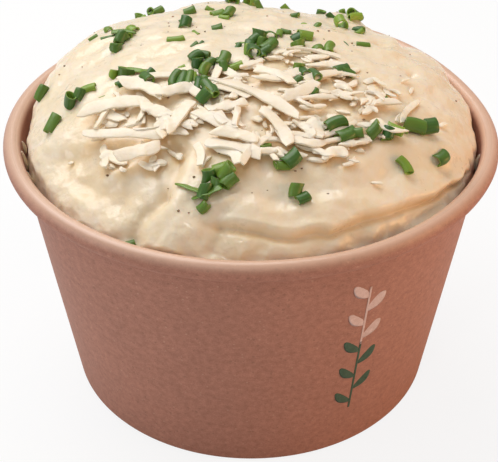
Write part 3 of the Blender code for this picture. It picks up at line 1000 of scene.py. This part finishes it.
def make_mash(material, shade_map):
    """The mash: the dome's grid, then rows down the wall from the grid's border to the floor."""
    bearing, climb = dome_grid(MASH_GRID)
    dome, painted_shade = mash_surface(bearing, climb)
    count = MASH_GRID
    number = np.arange(count * count).reshape(count, count)
    border = np.concatenate([number[0, :-1], number[:-1, -1], number[-1, :0:-1], number[:0:-1, 0]])
    edge = dome.reshape(-1, 3)[border]
    edge_bearing = np.degrees(np.arctan2(edge[:, 1], edge[:, 0]))
    edge_reach = np.hypot(edge[:, 0], edge[:, 1])
    share = np.linspace(0, 1, SKIRT_ROWS + 1)[1:, None] ** 1.6
    level = edge[:, 2] + (MASH_FLOOR - edge[:, 2]) * share
    wall_reach = MASH_EDGE_RADIUS - WALL_LEAN * (MASH_EDGE_LEVEL - level)
    gap = MASH_EDGE_RADIUS - edge_reach - pressed_in(edge_bearing, POT_HEIGHT)
    gap = gap * (1 - smooth_step(0, EDGE_GAP_DEPTH, edge[:, 2] - level))
    reach = wall_reach - gap - pressed_in(edge_bearing, level)
    turn = np.radians(edge_bearing)
    skirt = np.stack([reach * np.cos(turn), reach * np.sin(turn), level], axis=-1)
    points = np.concatenate([dome.reshape(-1, 3), skirt.reshape(-1, 3), [[0, 0, MASH_FLOOR]]])
    first = count * count
    rings = np.vstack([border, first + np.arange(SKIRT_ROWS * len(border)).reshape(SKIRT_ROWS, -1)])
    skirt_faces = np.stack(
        [rings[:-1], rings[1:], np.roll(rings[1:], -1, axis=1), np.roll(rings[:-1], -1, axis=1)], axis=-1
    ).reshape(-1, 4)
    blocks = [grid_faces(count, count), skirt_faces, fan_faces(rings[-1][::-1], len(points) - 1)]
    mesh = build_mesh("mashed_potato", points, blocks)
    # Painted shade under the cheese pile, added to the painted shade in the folds.
    shade = shade_at(shade_map, dome[..., 0], dome[..., 1])
    painted_shade = np.clip(painted_shade + shade, 0, 1).ravel()
    add_value(mesh, "painted_shade", np.concatenate([painted_shade, np.zeros(len(points) - len(painted_shade))]))
    return add_piece("mashed_potato", mesh, material, "mash")


# ---------------------------------------------------------------------------------------------
# Laying things on the mash: a map of levels over the plan, raised by each thing laid.

MAP_HALF = 56 * MM
MAP_CELL = 0.4 * MM
MAP_COUNT = int(2 * MAP_HALF / MAP_CELL) + 1


def make_level_map():
    """The mash's level over a square plan.

    The climb whose finished point lies at each cell's distance from the axis is found by moving
    the plain dome's radius by the error, a few times over."""
    line = np.linspace(-MAP_HALF, MAP_HALF, MAP_COUNT)
    x, y = np.meshgrid(line, line, indexing="ij")
    bearing = np.degrees(np.arctan2(y, x))
    wanted = np.minimum(np.hypot(x, y), MASH_EDGE_RADIUS - 0.4 * MM)
    target = wanted.copy()
    for _ in range(4):
        share = np.clip(target / MASH_EDGE_RADIUS, 0, 1)
        climb = np.degrees(np.arccos(share ** (DOME_PLAN_POWER / 2)))
        points, _ = mash_surface(bearing, climb)
        target = np.clip(target + wanted - np.hypot(points[..., 0], points[..., 1]), 0, MASH_EDGE_RADIUS)
    return points[..., 2]


def map_place(x, y):
    """Whole cell numbers of places on the plan."""
    row = np.clip(np.round((x + MAP_HALF) / MAP_CELL).astype(int), 0, MAP_COUNT - 1)
    column = np.clip(np.round((y + MAP_HALF) / MAP_CELL).astype(int), 0, MAP_COUNT - 1)
    return row, column


def level_at(levels, x, y):
    return levels[map_place(x, y)]


def shade_at(shade_map, x, y):
    return shade_map[map_place(x, y)]


def raise_map(levels, limit, x, y, top):
    """Raises the map to a laid thing's top, but never past the map of limits."""
    place = map_place(x, y)
    np.maximum.at(levels, place, np.minimum(top, limit[place]))


def blurred(values, times):
    """The map averaged with its neighbours, over and over."""
    for _ in range(times):
        sides = np.roll(values, 1, 0) + np.roll(values, -1, 0)
        sides = sides + np.roll(values, 1, 1) + np.roll(values, -1, 1)
        values = (values * 2 + sides) / 6
    return values


def inside_outline(x, y, outline):
    """Whether each place is inside a closed outline, by the count of its edges crossed to one side."""
    corners = np.array(outline, float) * MM
    crossed = np.zeros(np.shape(x), int)
    for start, end in zip(corners, np.roll(corners, -1, axis=0)):
        between = (start[1] > y) != (end[1] > y)
        run = end[1] - start[1] if end[1] != start[1] else 1e-12
        crossed += between & (x < start[0] + (y - start[1]) / run * (end[0] - start[0]))
    return crossed % 2 == 1


# ---------------------------------------------------------------------------------------------
# Grated cheese.

SHRED_DROOP = 12.0
SHARP_ANGLE = 42


def lay_shred(levels, limit, start, end, width, bow, twist, thickness, rows, rng, around=12):
    """One shred laid over what is there: a flat strip with ragged sides that bends a little.

    Its line runs from start to end with a sideways bow. The level under each of its points is the
    highest over its width. The strip follows the upper hull of parabolas of one droop over them,
    smoothed by a moving average, and leans with the slope across it."""
    share = np.linspace(0, 1, rows)
    start, end = np.array(start, float), np.array(end, float)
    run = end - start
    length = np.hypot(*run)
    across = np.array([-run[1], run[0]]) / length
    plan = start + share[:, None] * run + (4 * bow * share * (1 - share))[:, None] * across
    wobble = rng.normal(size=3) * 0.12 * width
    plan = plan + (wobble[0] * np.sin(5 * share + rng.uniform(0, 6)))[:, None] * across
    half = width / 2
    taper = np.clip(np.minimum(share / 0.12, (1 - share) / rng.uniform(0.08, 0.4)), 0, 1)
    knots = np.linspace(0, 1, 2 + int(length / (1.6 * MM)))
    ragged = 1 + 0.05 * np.interp(share, knots, rng.normal(size=len(knots)))
    blunt = rng.uniform(0.45, 0.9)
    half_width = half * (blunt + (1 - blunt) * np.sqrt(taper)) * ragged
    sides = plan[:, None] + np.array([-0.8, -0.4, 0, 0.4, 0.8])[None, :, None] * half * across
    under = level_at(levels, sides[..., 0], sides[..., 1])
    gap = (share[:, None] - share[None, :]) * length
    hull = (under.max(axis=1)[None, :] - SHRED_DROOP * gap**2).max(axis=1)
    spread = max(rows // 4, 1)
    hull = np.convolve(np.pad(hull, spread, "edge"), np.ones(2 * spread + 1) / (2 * spread + 1), "valid")
    lean = (under[:, -1] - under[:, 0]) / (1.6 * half)
    lean = np.clip(np.convolve(np.pad(lean, 3, "edge"), np.ones(7) / 7, "valid"), -0.45, 0.45)
    turned = lean + np.radians(twist) * (share - 0.5) * 1.5
    centre = np.column_stack([plan, hull + thickness * 0.3])
    side = np.column_stack([np.tile(across, (rows, 1)), turned])
    half_thickness = thickness / 2 * (0.55 + 0.45 * np.sqrt(taper))
    slants = rng.normal(size=2) * 0.7
    points, blocks = swept_strip(centre, side, half_width, half_thickness, around, 3.6, slants)
    top = hull + thickness * 0.7
    fine = np.linspace(0, 1, rows * 3)
    for offset in (-0.8, -0.4, 0, 0.4, 0.8):
        x = np.interp(fine, share, plan[:, 0] + offset * half * across[0])
        y = np.interp(fine, share, plan[:, 1] + offset * half * across[1])
        raise_map(levels, limit, x, y, np.interp(fine, share, top))
    return points, blocks


def random_in_cheese(rng, right_share=0.5):
    """A random place inside the pile's outline, more often on its right for a larger share."""
    while True:
        x = rng.uniform(-38, 37) * MM
        y = rng.uniform(-37, 7) * MM
        keep = right_share if x > 0 else 1 - right_share
        if inside_outline(x, y, CHEESE_OUTLINE) and rng.uniform() < 2 * keep:
            return np.array([x, y])


def lay_random_shreds(levels, limit, count, lengths, widths, right_share, rows, around, rng):
    parts = []
    for _ in range(count):
        middle = random_in_cheese(rng, right_share)
        length = rng.uniform(*lengths) * MM
        yaw = rng.normal(-0.6, 0.9)
        reach = np.array([np.cos(yaw), np.sin(yaw)]) * length / 2
        width = rng.uniform(*widths) * MM
        bow = rng.normal() * 0.1 * length
        thickness = rng.uniform(0.45, 0.75) * MM
        shape = lay_shred(
            levels, limit, middle - reach, middle + reach, width, bow, rng.normal() * 14, thickness,
            rows, rng, around,
        )
        parts.append((*shape, {"tone": rng.uniform(0, 1) ** 2}))
    return parts


def make_shreds(levels, limit, material):
    """The grated cheese: short shreds at the bottom, the long ones over them, a few loose ones on top."""
    rng = np.random.default_rng(SEED + 40)
    parts = lay_random_shreds(levels, limit, BASE_SHREDS, (5, 12), (1.2, 2.8), 0.45, 12, 10, rng)
    for start, end, width, bow, twist in LONG_SHREDS:
        start, end = np.array(start) * MM, np.array(end) * MM
        shape = lay_shred(levels, limit, start, end, width * MM, bow * MM, twist, 0.75 * MM, 30, rng)
        parts.append((*shape, {"tone": rng.uniform(0, 1)}))
    parts += lay_random_shreds(levels, limit, TOP_SHREDS, (3, 7), (0.8, 1.6), 0.75, 10, 8, rng)
    points, faces, values = join_parts(parts)
    points = points + 0.06 * MM * soft_noise(points, 2.2 * MM, SEED + 41)[:, None]
    mesh = build_mesh("cheese_shreds", points, faces)
    mesh.set_sharp_from_angle(angle=math.radians(SHARP_ANGLE))
    add_value(mesh, "tone", values["tone"])
    return add_piece("cheese_shreds", mesh, material, "grated_cheese")


def make_crumbs(levels, limit, material):
    """Broken bits of cheese: very short shreds, thick on the right of the pile and sparse round it."""
    rng = np.random.default_rng(SEED + 50)
    parts = lay_random_shreds(levels, limit, CRUMBS, (1.4, 4.6), (0.8, 2.0), 0.68, 5, 6, rng)
    for _ in range(STRAY_CRUMBS):
        middle = random_in_cheese(rng, 0.6) * rng.uniform(0.9, 1.3) + rng.normal(size=2) * 4 * MM
        if np.hypot(*middle) > 48 * MM:
            continue
        length = rng.uniform(0.8, 2.6) * MM
        yaw = rng.uniform(0, math.pi)
        reach = np.array([np.cos(yaw), np.sin(yaw)]) * length / 2
        width = rng.uniform(0.5, 1.1) * MM
        shape = lay_shred(
            levels, limit, middle - reach, middle + reach, width, 0, 0, 0.4 * MM, 5, rng, 6
        )
        parts.append((*shape, {"tone": rng.uniform(0, 1)}))
    points, faces, values = join_parts(parts)
    points = points + 0.08 * MM * soft_noise(points, 0.9 * MM, SEED + 51)[:, None]
    mesh = build_mesh("cheese_crumbs", points, faces)
    mesh.set_sharp_from_angle(angle=math.radians(SHARP_ANGLE))
    add_value(mesh, "tone", values["tone"])
    return add_piece("cheese_crumbs", mesh, material)


# ---------------------------------------------------------------------------------------------
# Chives.

CHIVE_AROUND = 18
CHIVE_WALL = 0.32
CHIVE_SHARE = 0.9


def chive_shape(centre, yaw, tilt, length, radius, slants, squash, bend):
    """One cut piece of chive: a tube open down its middle, closed from its outside through both cut ends.

    The outer wall's rings run from one end to the other and the inner wall's rings run back. The
    section is a circle squashed a little, the cuts are slanted, and the axis bends on an arc."""
    wall = CHIVE_WALL * MM
    outer = np.array([-1, -1, -0.96, -0.5, 0, 0.5, 0.96, 1, 1]) * length / 2
    outer_radius = radius - wall * np.array([0.5, 0.15, 0, 0, 0, 0, 0, 0.15, 0.5])
    inner = np.array([1, 0.97, 0.3, -0.3, -0.97, -1]) * length / 2
    inner_radius = np.full(len(inner), radius - wall)
    inner_radius[[0, -1]] += 0.2 * wall
    place = np.concatenate([outer, inner])[:, None]
    ring = np.concatenate([outer_radius, inner_radius])[:, None]
    angle = np.linspace(0, 2 * math.pi, CHIVE_AROUND, endpoint=False)[None, :]
    lumpy = 1 + 0.05 * np.sin(2 * angle + slants[0] * 7) + 0.03 * np.sin(3 * angle + slants[1] * 9)
    sideways = ring * lumpy * np.cos(angle)
    upwards = ring * lumpy * squash * np.sin(angle)
    end_share = place / (length / 2)
    slant = np.where(end_share > 0, slants[0], slants[1]) * np.abs(end_share)
    lengthways = place + slant * sideways
    sideways = sideways + bend * place**2 / length
    yaw, tilt = math.radians(yaw), math.radians(tilt)
    axis = np.array([math.cos(yaw) * math.cos(tilt), math.sin(yaw) * math.cos(tilt), math.sin(tilt)])
    side = np.array([-math.sin(yaw), math.cos(yaw), 0])
    top = np.cross(axis, side)
    points = (
        centre + lengthways[..., None] * axis + sideways[..., None] * side + upwards[..., None] * top
    ).reshape(-1, 3)
    rows = len(place)
    inner_share = np.zeros(rows)
    inner_share[[0, len(outer) - 1]] = 0.8
    inner_share[len(outer):] = 0.75
    values = {
        "inner": np.repeat(inner_share, CHIVE_AROUND),
        "u": np.tile(angle[0] * radius * 1800, rows),
        "v": np.repeat(place[:, 0] * 120, CHIVE_AROUND),
    }
    return points, [grid_faces(rows, CHIVE_AROUND, True, True)], values


def lay_chive(levels, limit, x, y, yaw, tilt, length, radius, tone, rng, sink=1.1):
    """Lays one piece of chive: its lowest side a little below the average level under its outline."""
    reach = np.array([math.cos(math.radians(yaw)), math.sin(math.radians(yaw))])
    flat = length / 2 * math.cos(math.radians(tilt))
    along = np.linspace(-1, 1, 7)[:, None, None]
    aside = np.linspace(-0.7, 0.7, 5)[None, :, None]
    footprint = np.array([x, y]) + along * flat * reach + aside * radius * np.array([-reach[1], reach[0]])
    under = level_at(levels, footprint[..., 0], footprint[..., 1])
    slope = np.polyfit(along[:, 0, 0] * flat, under.mean(axis=1), 1)[0] if flat > 0.3 * MM else 0
    pitch = math.degrees(math.atan(np.clip(slope, -0.7, 0.7)))
    squash = rng.uniform(0.72, 0.98)
    tilt_now = tilt + pitch
    depth = abs(math.sin(math.radians(tilt))) * length / 2 + math.cos(math.radians(tilt)) * radius * squash
    level = under.mean() * 0.5 + under.max() * 0.5 + depth - sink * MM
    slants = rng.normal(size=2) * 0.25
    centre = np.array([x, y, level])
    points, blocks, values = chive_shape(
        centre, yaw, tilt_now, length, radius, slants, squash, rng.normal() * 0.35
    )
    raise_map(levels, limit, footprint[..., 0], footprint[..., 1], level + 0.55 * depth)
    values["tone"] = np.full(len(points), tone)
    return points, blocks, values


def chive_blade(levels, line, half_width, tone, lift=0.6):
    """A split leaf of chive: a thin gutter-shaped blade laid along a line, pointed at its far end."""
    line = np.array(line, float) * MM
    share = np.linspace(0, 1, 16)
    known = np.linspace(0, 1, len(line))
    plan = np.column_stack([np.interp(share, known, line[:, 0]), np.interp(share, known, line[:, 1])])
    level = level_at(levels, plan[:, 0], plan[:, 1])
    level = np.convolve(np.pad(level, 3, "edge"), np.ones(7) / 7, "valid") + lift * MM
    centre = np.column_stack([plan, level])
    run = unit(np.gradient(plan, axis=0))
    side = np.column_stack([-run[:, 1], run[:, 0], 0.25 * np.sin(share * 3)])
    widths = half_width * MM * np.sqrt(np.clip(1.02 - share**1.4, 0.01, 1))
    points, blocks = swept_strip(centre, side, widths, np.full(16, 0.2 * MM), around=12)
    ones = np.ones(len(points))
    values = {"inner": ones * 0.25, "tone": ones * tone, "u": points[:, 0] * 1500, "v": points[:, 1] * 1500}
    return points, blocks, values


CHIVE_BLADES = (
    (((-8, -44), (-11.5, -42.5), (-15.5, -40)), 1.2, 0.4),
    (((-6.5, -42.5), (-9, -44), (-12, -44)), 1.8, 0.15),
    (((-28, -3), (-25, -4), (-22, -6.5)), 0.9, 0.5),
    (((-33, 15.5), (-30, 15.5), (-27, 13.5)), 0.8, 0.3),
)


def make_chives(levels, limit, material):
    """All cut chives: the single ones, the clumps heaped in turn, some strays and the split blades."""
    rng = np.random.default_rng(SEED + 60)
    parts = []
    for x, y, yaw, tilt, length, radius, tone in SINGLE_CHIVES:
        place = (x * MM, y * MM, yaw, tilt, length * MM, CHIVE_SHARE * radius * MM)
        parts.append(lay_chive(levels, limit, *place, tone, rng))
    for x, y, reach_x, reach_y, count in CHIVE_CLUMPS:
        for _ in range(count):
            place = rng.normal(size=2) * np.array([reach_x, reach_y]) * 0.5
            standing = rng.uniform() < 0.4
            tilt = rng.uniform(45, 85) if standing else rng.uniform(-8, 22)
            length = rng.uniform(1.2, 2.2) if standing else rng.uniform(2.0, 4.2)
            radius = rng.uniform(0.9, 1.6)
            parts.append(
                lay_chive(
                    levels, limit, (x + place[0]) * MM, (y + place[1]) * MM, rng.uniform(0, 180), tilt,
                    length * MM, radius * MM, rng.uniform(0, 1) ** 1.6, rng,
                )
            )
    for _ in range(STRAY_CHIVES):
        bearing, reach = rng.uniform(0.3, math.pi - 0.3), rng.uniform(30, 46)
        x, y = reach * math.cos(bearing) * MM, reach * math.sin(bearing) * MM
        parts.append(
            lay_chive(
                levels, limit, x, y, rng.uniform(0, 180), rng.uniform(-5, 60), rng.uniform(1.2, 3.4) * MM,
                rng.uniform(0.8, 1.6) * MM, rng.uniform(0, 1) ** 1.4, rng,
            )
        )
    for line, half_width, tone in CHIVE_BLADES:
        parts.append(chive_blade(levels, line, half_width, tone))
    points, faces, values = join_parts(parts)
    mesh = build_mesh("cut_chives", points, faces)
    add_value(mesh, "tone", values["tone"])
    add_value(mesh, "inner", values["inner"])
    add_uv(mesh, values["u"], values["v"])
    return add_piece("cut_chives", mesh, material)


# ---------------------------------------------------------------------------------------------
# Pepper, smears and print.


def grain_shape(centre, size, rng):
    """A small uneven grain: a sphere of latitudes and longitudes, pressed flat and roughened."""
    turn = np.linspace(0, 2 * math.pi, 8, endpoint=False)[None, :]
    rise = np.radians([-58, -20, 20, 58])[:, None]
    ball = np.stack(
        [np.cos(rise) * np.cos(turn), np.cos(rise) * np.sin(turn), 0.6 * np.sin(rise) + 0 * turn], axis=-1
    )
    ball = ball.reshape(-1, 3) * rng.uniform(0.75, 1.25, size=(32, 1))
    poles = np.array([[0, 0, -0.6], [0, 0, 0.6]])
    points = centre + np.concatenate([ball, poles]) * size * rng.uniform(0.7, 1.3, size=3)
    first, last = np.arange(8), np.arange(24, 32)
    blocks = [grid_faces(4, 8, wrap_columns=True), fan_faces(first[::-1], 32), fan_faces(last, 33)]
    return points, blocks, {}


def make_pepper(levels, material):
    """Ground pepper scattered over the mash, half sunk in it."""
    rng = np.random.default_rng(SEED + 70)
    parts = []
    for _ in range(PEPPER_GRAINS):
        reach, bearing = 50 * MM * math.sqrt(rng.uniform()), rng.uniform(0, 2 * math.pi)
        x, y = reach * math.cos(bearing), reach * math.sin(bearing)
        size = rng.uniform(0.14, 0.34) * MM
        parts.append(grain_shape(np.array([x, y, level_at(levels, x, y) + 0.02 * MM]), size, rng))
    points, faces, _ = join_parts(parts)
    mesh = build_mesh("ground_pepper", points, faces)
    return add_piece("ground_pepper", mesh, material)


# Smears on the wall's inside: bearing, level below the rim, half width, half height.
SMEARS = (
    (192, 4.6, 1.0, 2.6),
    (200, 5.6, 1.3, 3.2),
    (186, 4.2, 0.7, 1.6),
    (348, 5.0, 1.0, 2.2),
    (14, 4.8, 0.8, 1.8),
)


def make_smears(material):
    """Thin smears of mash on the wall in the gap: a lens on the cone, thick in its middle."""
    parts = []
    for bearing, below, half_width, half_height in SMEARS:
        turn = np.linspace(0, 2 * math.pi, 28, endpoint=False)[None, :]
        ring = np.array([1.0, 0.85, 0.6, 0.3])[:, None]
        uneven = 1 + 0.18 * np.sin(3 * turn + bearing) + 0.1 * np.sin(5 * turn)
        aside = ring * uneven * half_width * MM * np.cos(turn)
        up = ring * uneven * half_height * MM * np.sin(turn)
        level = POT_HEIGHT - below * MM + up
        thick = 0.9 * MM * (1 - ring**2) ** 0.5 + 0 * turn
        wall = WALL_FOOT_RADIUS + WALL_LEAN * (level - WALL_FOOT_LEVEL) - BOARD / 2 + 0.05 * MM
        wall = wall - pressed_in(bearing, level)
        parts_points = []
        for reach in (wall - thick, wall + 0.0 * thick):
            angle = math.radians(bearing) + aside / reach
            parts_points.append(np.stack([reach * np.cos(angle), reach * np.sin(angle), level], axis=-1))
        inner_points = parts_points[0].reshape(-1, 3)
        centre_level = POT_HEIGHT - below * MM
        centre_reach = WALL_FOOT_RADIUS + WALL_LEAN * (centre_level - WALL_FOOT_LEVEL) - BOARD / 2
        centre_reach = centre_reach - pressed_in(bearing, centre_level)
        direction = np.array([math.cos(math.radians(bearing)), math.sin(math.radians(bearing)), 0])
        front = direction * (centre_reach - 0.9 * MM) + [0, 0, centre_level]
        back = direction * (centre_reach + 0.05 * MM) + [0, 0, centre_level]
        points = np.concatenate([inner_points, [front, back]])
        blocks = [
            grid_faces(4, 28, wrap_columns=True),
            fan_faces(np.arange(84, 112), 112),
            fan_faces(np.arange(28)[::-1], 113),
        ]
        # A little painted shade on the smears in the gap.
        parts.append((points, blocks, {"painted_shade": 0.1}))
    points, faces, values = join_parts(parts)
    mesh = build_mesh("mash_smears", points, faces)
    add_value(mesh, "painted_shade", values["painted_shade"])
    return add_piece("mash_smears", mesh, material)


# The printed sprig: its bearing, the levels of its leaves, and where green gives way to pink.
PRINT_BEARING = -61
PRINT_LEVELS = np.linspace(15.5, 49.5, 9) * MM
PRINT_CHANGE = 5
LEAF_LENGTH = 6.4 * MM
LEAF_HALF_WIDTH = 1.55 * MM
INK_THICKNESS = 0.04 * MM


def on_wall(aside, level):
    """A point on the wall's outer face, at a distance aside of the print's line."""
    reach = WALL_FOOT_RADIUS + WALL_LEAN * (level - WALL_FOOT_LEVEL) + BOARD / 2 + 0.03 * MM
    angle = math.radians(PRINT_BEARING) + aside / reach
    return np.stack([reach * np.cos(angle), reach * np.sin(angle), level], axis=-1)


def printed_shape(aside, level, half_width):
    """A flat printed mark: a thin strip along a line on the wall, pointed at both ends."""
    centre = on_wall(aside, level)
    out = unit(centre * [1, 1, 0])
    side = np.cross(out, np.gradient(centre, axis=0))
    return *swept_strip(centre, side, half_width, np.full(len(level), INK_THICKNESS), 8, 2.0), {}


def make_print(green, pink):
    """A plain sprig in two inks: a stem with leaves to each side in turn, each a pointed strip."""
    share = np.linspace(0, 1, 13)
    for name, material, numbers in (
        ("printed_leaves_green", green, range(PRINT_CHANGE)),
        ("printed_leaves_pink", pink, range(PRINT_CHANGE, len(PRINT_LEVELS))),
    ):
        parts = []
        for number in numbers:
            hand = 1 if number % 2 else -1
            aside = hand * (0.3 * MM + LEAF_LENGTH * 0.62 * share)
            level = PRINT_LEVELS[number] + LEAF_LENGTH * (0.78 * share - 0.12 * share**2)
            half_width = LEAF_HALF_WIDTH * np.sin(math.pi * (0.03 + 0.94 * share)) ** 0.8
            parts.append(printed_shape(aside, level, half_width))
        low = PRINT_LEVELS[numbers[0]] - 2.2 * MM
        high = PRINT_LEVELS[numbers[-1]] + 3.0 * MM
        stem_level = low + (high - low) * share
        parts.append(printed_shape(0 * share, stem_level, np.full(13, 0.28 * MM)))
        points, faces, _ = join_parts(parts)
        add_piece(name, build_mesh(name, points, faces), material)


# ---------------------------------------------------------------------------------------------
# Floor, lights and camera.

CAMERA_CLIMB = math.radians(35.7)
CAMERA_DISTANCE = 0.324
CAMERA_LENS = 94.6
CAMERA_TARGET = Vector((-0.0005, 0, POT_HEIGHT / 2 + 0.0012))


def make_floor():
    """A pale floor that is white to the camera and keeps the pot's shadow."""
    line = np.linspace(-3, 3, 7)
    x, y = np.meshgrid(line, line)
    points = np.stack([x, y, np.full(x.shape, -0.0003)], axis=-1).reshape(-1, 3)
    mesh = build_mesh("floor", points, [grid_faces(7, 7)])
    material, tree, shader, _ = new_material("pale_floor")
    set_sockets(shader, Base_Color=(0.86, 0.86, 0.86, 1), Roughness=0.8)
    glow = add_node(tree, "ShaderNodeEmission", Color=(1, 1, 1, 1), Strength=1.0)
    path = tree.nodes.new("ShaderNodeLightPath")
    share = calculated(tree, "MULTIPLY", path.outputs["Is Camera Ray"], 0.85)
    blend = add_node(tree, "ShaderNodeMixShader", {0: share, 1: shader.outputs[0], 2: glow.outputs[0]})
    wire(tree, blend.outputs[0], tree.nodes["Material Output"].inputs["Surface"])
    mesh.materials.append(material)
    floor = bpy.data.objects.new("floor", mesh)
    bpy.context.scene.collection.objects.link(floor)


def aim(obj, target):
    """Turns a lamp or the camera at its place towards a point."""
    obj.rotation_euler = (Vector(target) - obj.location).to_track_quat("-Z", "Y").to_euler()


def add_lamp(name, place, target, size, power, colour):
    lamp = bpy.data.lights.new(name, "AREA")
    lamp.shape = "RECTANGLE"
    lamp.size, lamp.size_y = size
    lamp.energy = power
    lamp.color = colour
    obj = bpy.data.objects.new(name, lamp)
    obj.location = place
    bpy.context.scene.collection.objects.link(obj)
    aim(obj, target)


def make_lights():
    """A large soft lamp overhead, behind to the left, a weak fill on each side, a small lamp in front."""
    middle = (0, 0, 0.05)
    add_lamp("overhead", (-0.2, 0.26, 0.6), middle, (0.6, 0.5), 3.55, (1.0, 0.985, 0.97))
    add_lamp("left_fill", (-0.66, -0.24, 0.20), middle, (0.25, 0.25), 0.75, (1.0, 0.98, 0.98))
    add_lamp("right_fill", (0.60, -0.16, 0.16), middle, (0.3, 0.3), 1.6, (1.0, 0.52, 0.2))
    add_lamp("sparkle", (-0.10, -0.42, 0.60), middle, (0.06, 0.06), 0.35, (1.0, 1.0, 1.0))
    world = bpy.data.worlds.new("studio")
    world.use_nodes = True
    world.node_tree.nodes["Background"].inputs["Color"].default_value = (1, 1, 1, 1)
    world.node_tree.nodes["Background"].inputs["Strength"].default_value = 0.35
    bpy.context.scene.world = world


def make_camera():
    camera = bpy.data.cameras.new("camera")
    camera.lens = CAMERA_LENS
    camera.sensor_width = 36
    obj = bpy.data.objects.new("camera", camera)
    obj.location = (
        0,
        -CAMERA_DISTANCE * math.cos(CAMERA_CLIMB),
        POT_HEIGHT / 2 + CAMERA_DISTANCE * math.sin(CAMERA_CLIMB),
    )
    bpy.context.scene.collection.objects.link(obj)
    aim(obj, CAMERA_TARGET)
    bpy.context.scene.camera = obj


def build():
    board = make_board_material()
    mash = make_mash_material()
    cheese = make_cheese_material("hard_cheese", (0.96, 0.86, 0.71, 1), (0.91, 0.77, 0.56, 1))
    make_pot_wall(board)
    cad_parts["pot_floor"].data.materials.clear()
    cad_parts["pot_floor"].data.materials.append(make_floor_board_material())
    bare = make_level_map()
    levels = bare.copy()
    cheese_limit = bare + CHEESE_DEPTH
    make_crumbs(levels, cheese_limit, cheese)
    make_shreds(levels, cheese_limit, cheese)
    covered = np.clip((levels - bare) / (1.5 * MM), 0, 1)
    shade_map = blurred(covered, 4)
    make_mash(mash, shade_map)
    make_smears(mash)
    make_chives(levels, levels + CHIVE_DEPTH, make_chive_material())
    make_pepper(bare, make_pepper_material())
    make_print(
        make_ink_material("green_ink", (0.055, 0.11, 0.06, 1), (0.03, 0.07, 0.035, 1)),
        make_ink_material("pink_ink", (0.72, 0.52, 0.47, 1), (0.60, 0.40, 0.34, 1)),
    )
    make_floor()
    make_lights()
    make_camera()
    bpy.context.scene.view_settings.view_transform = "Standard"


build()
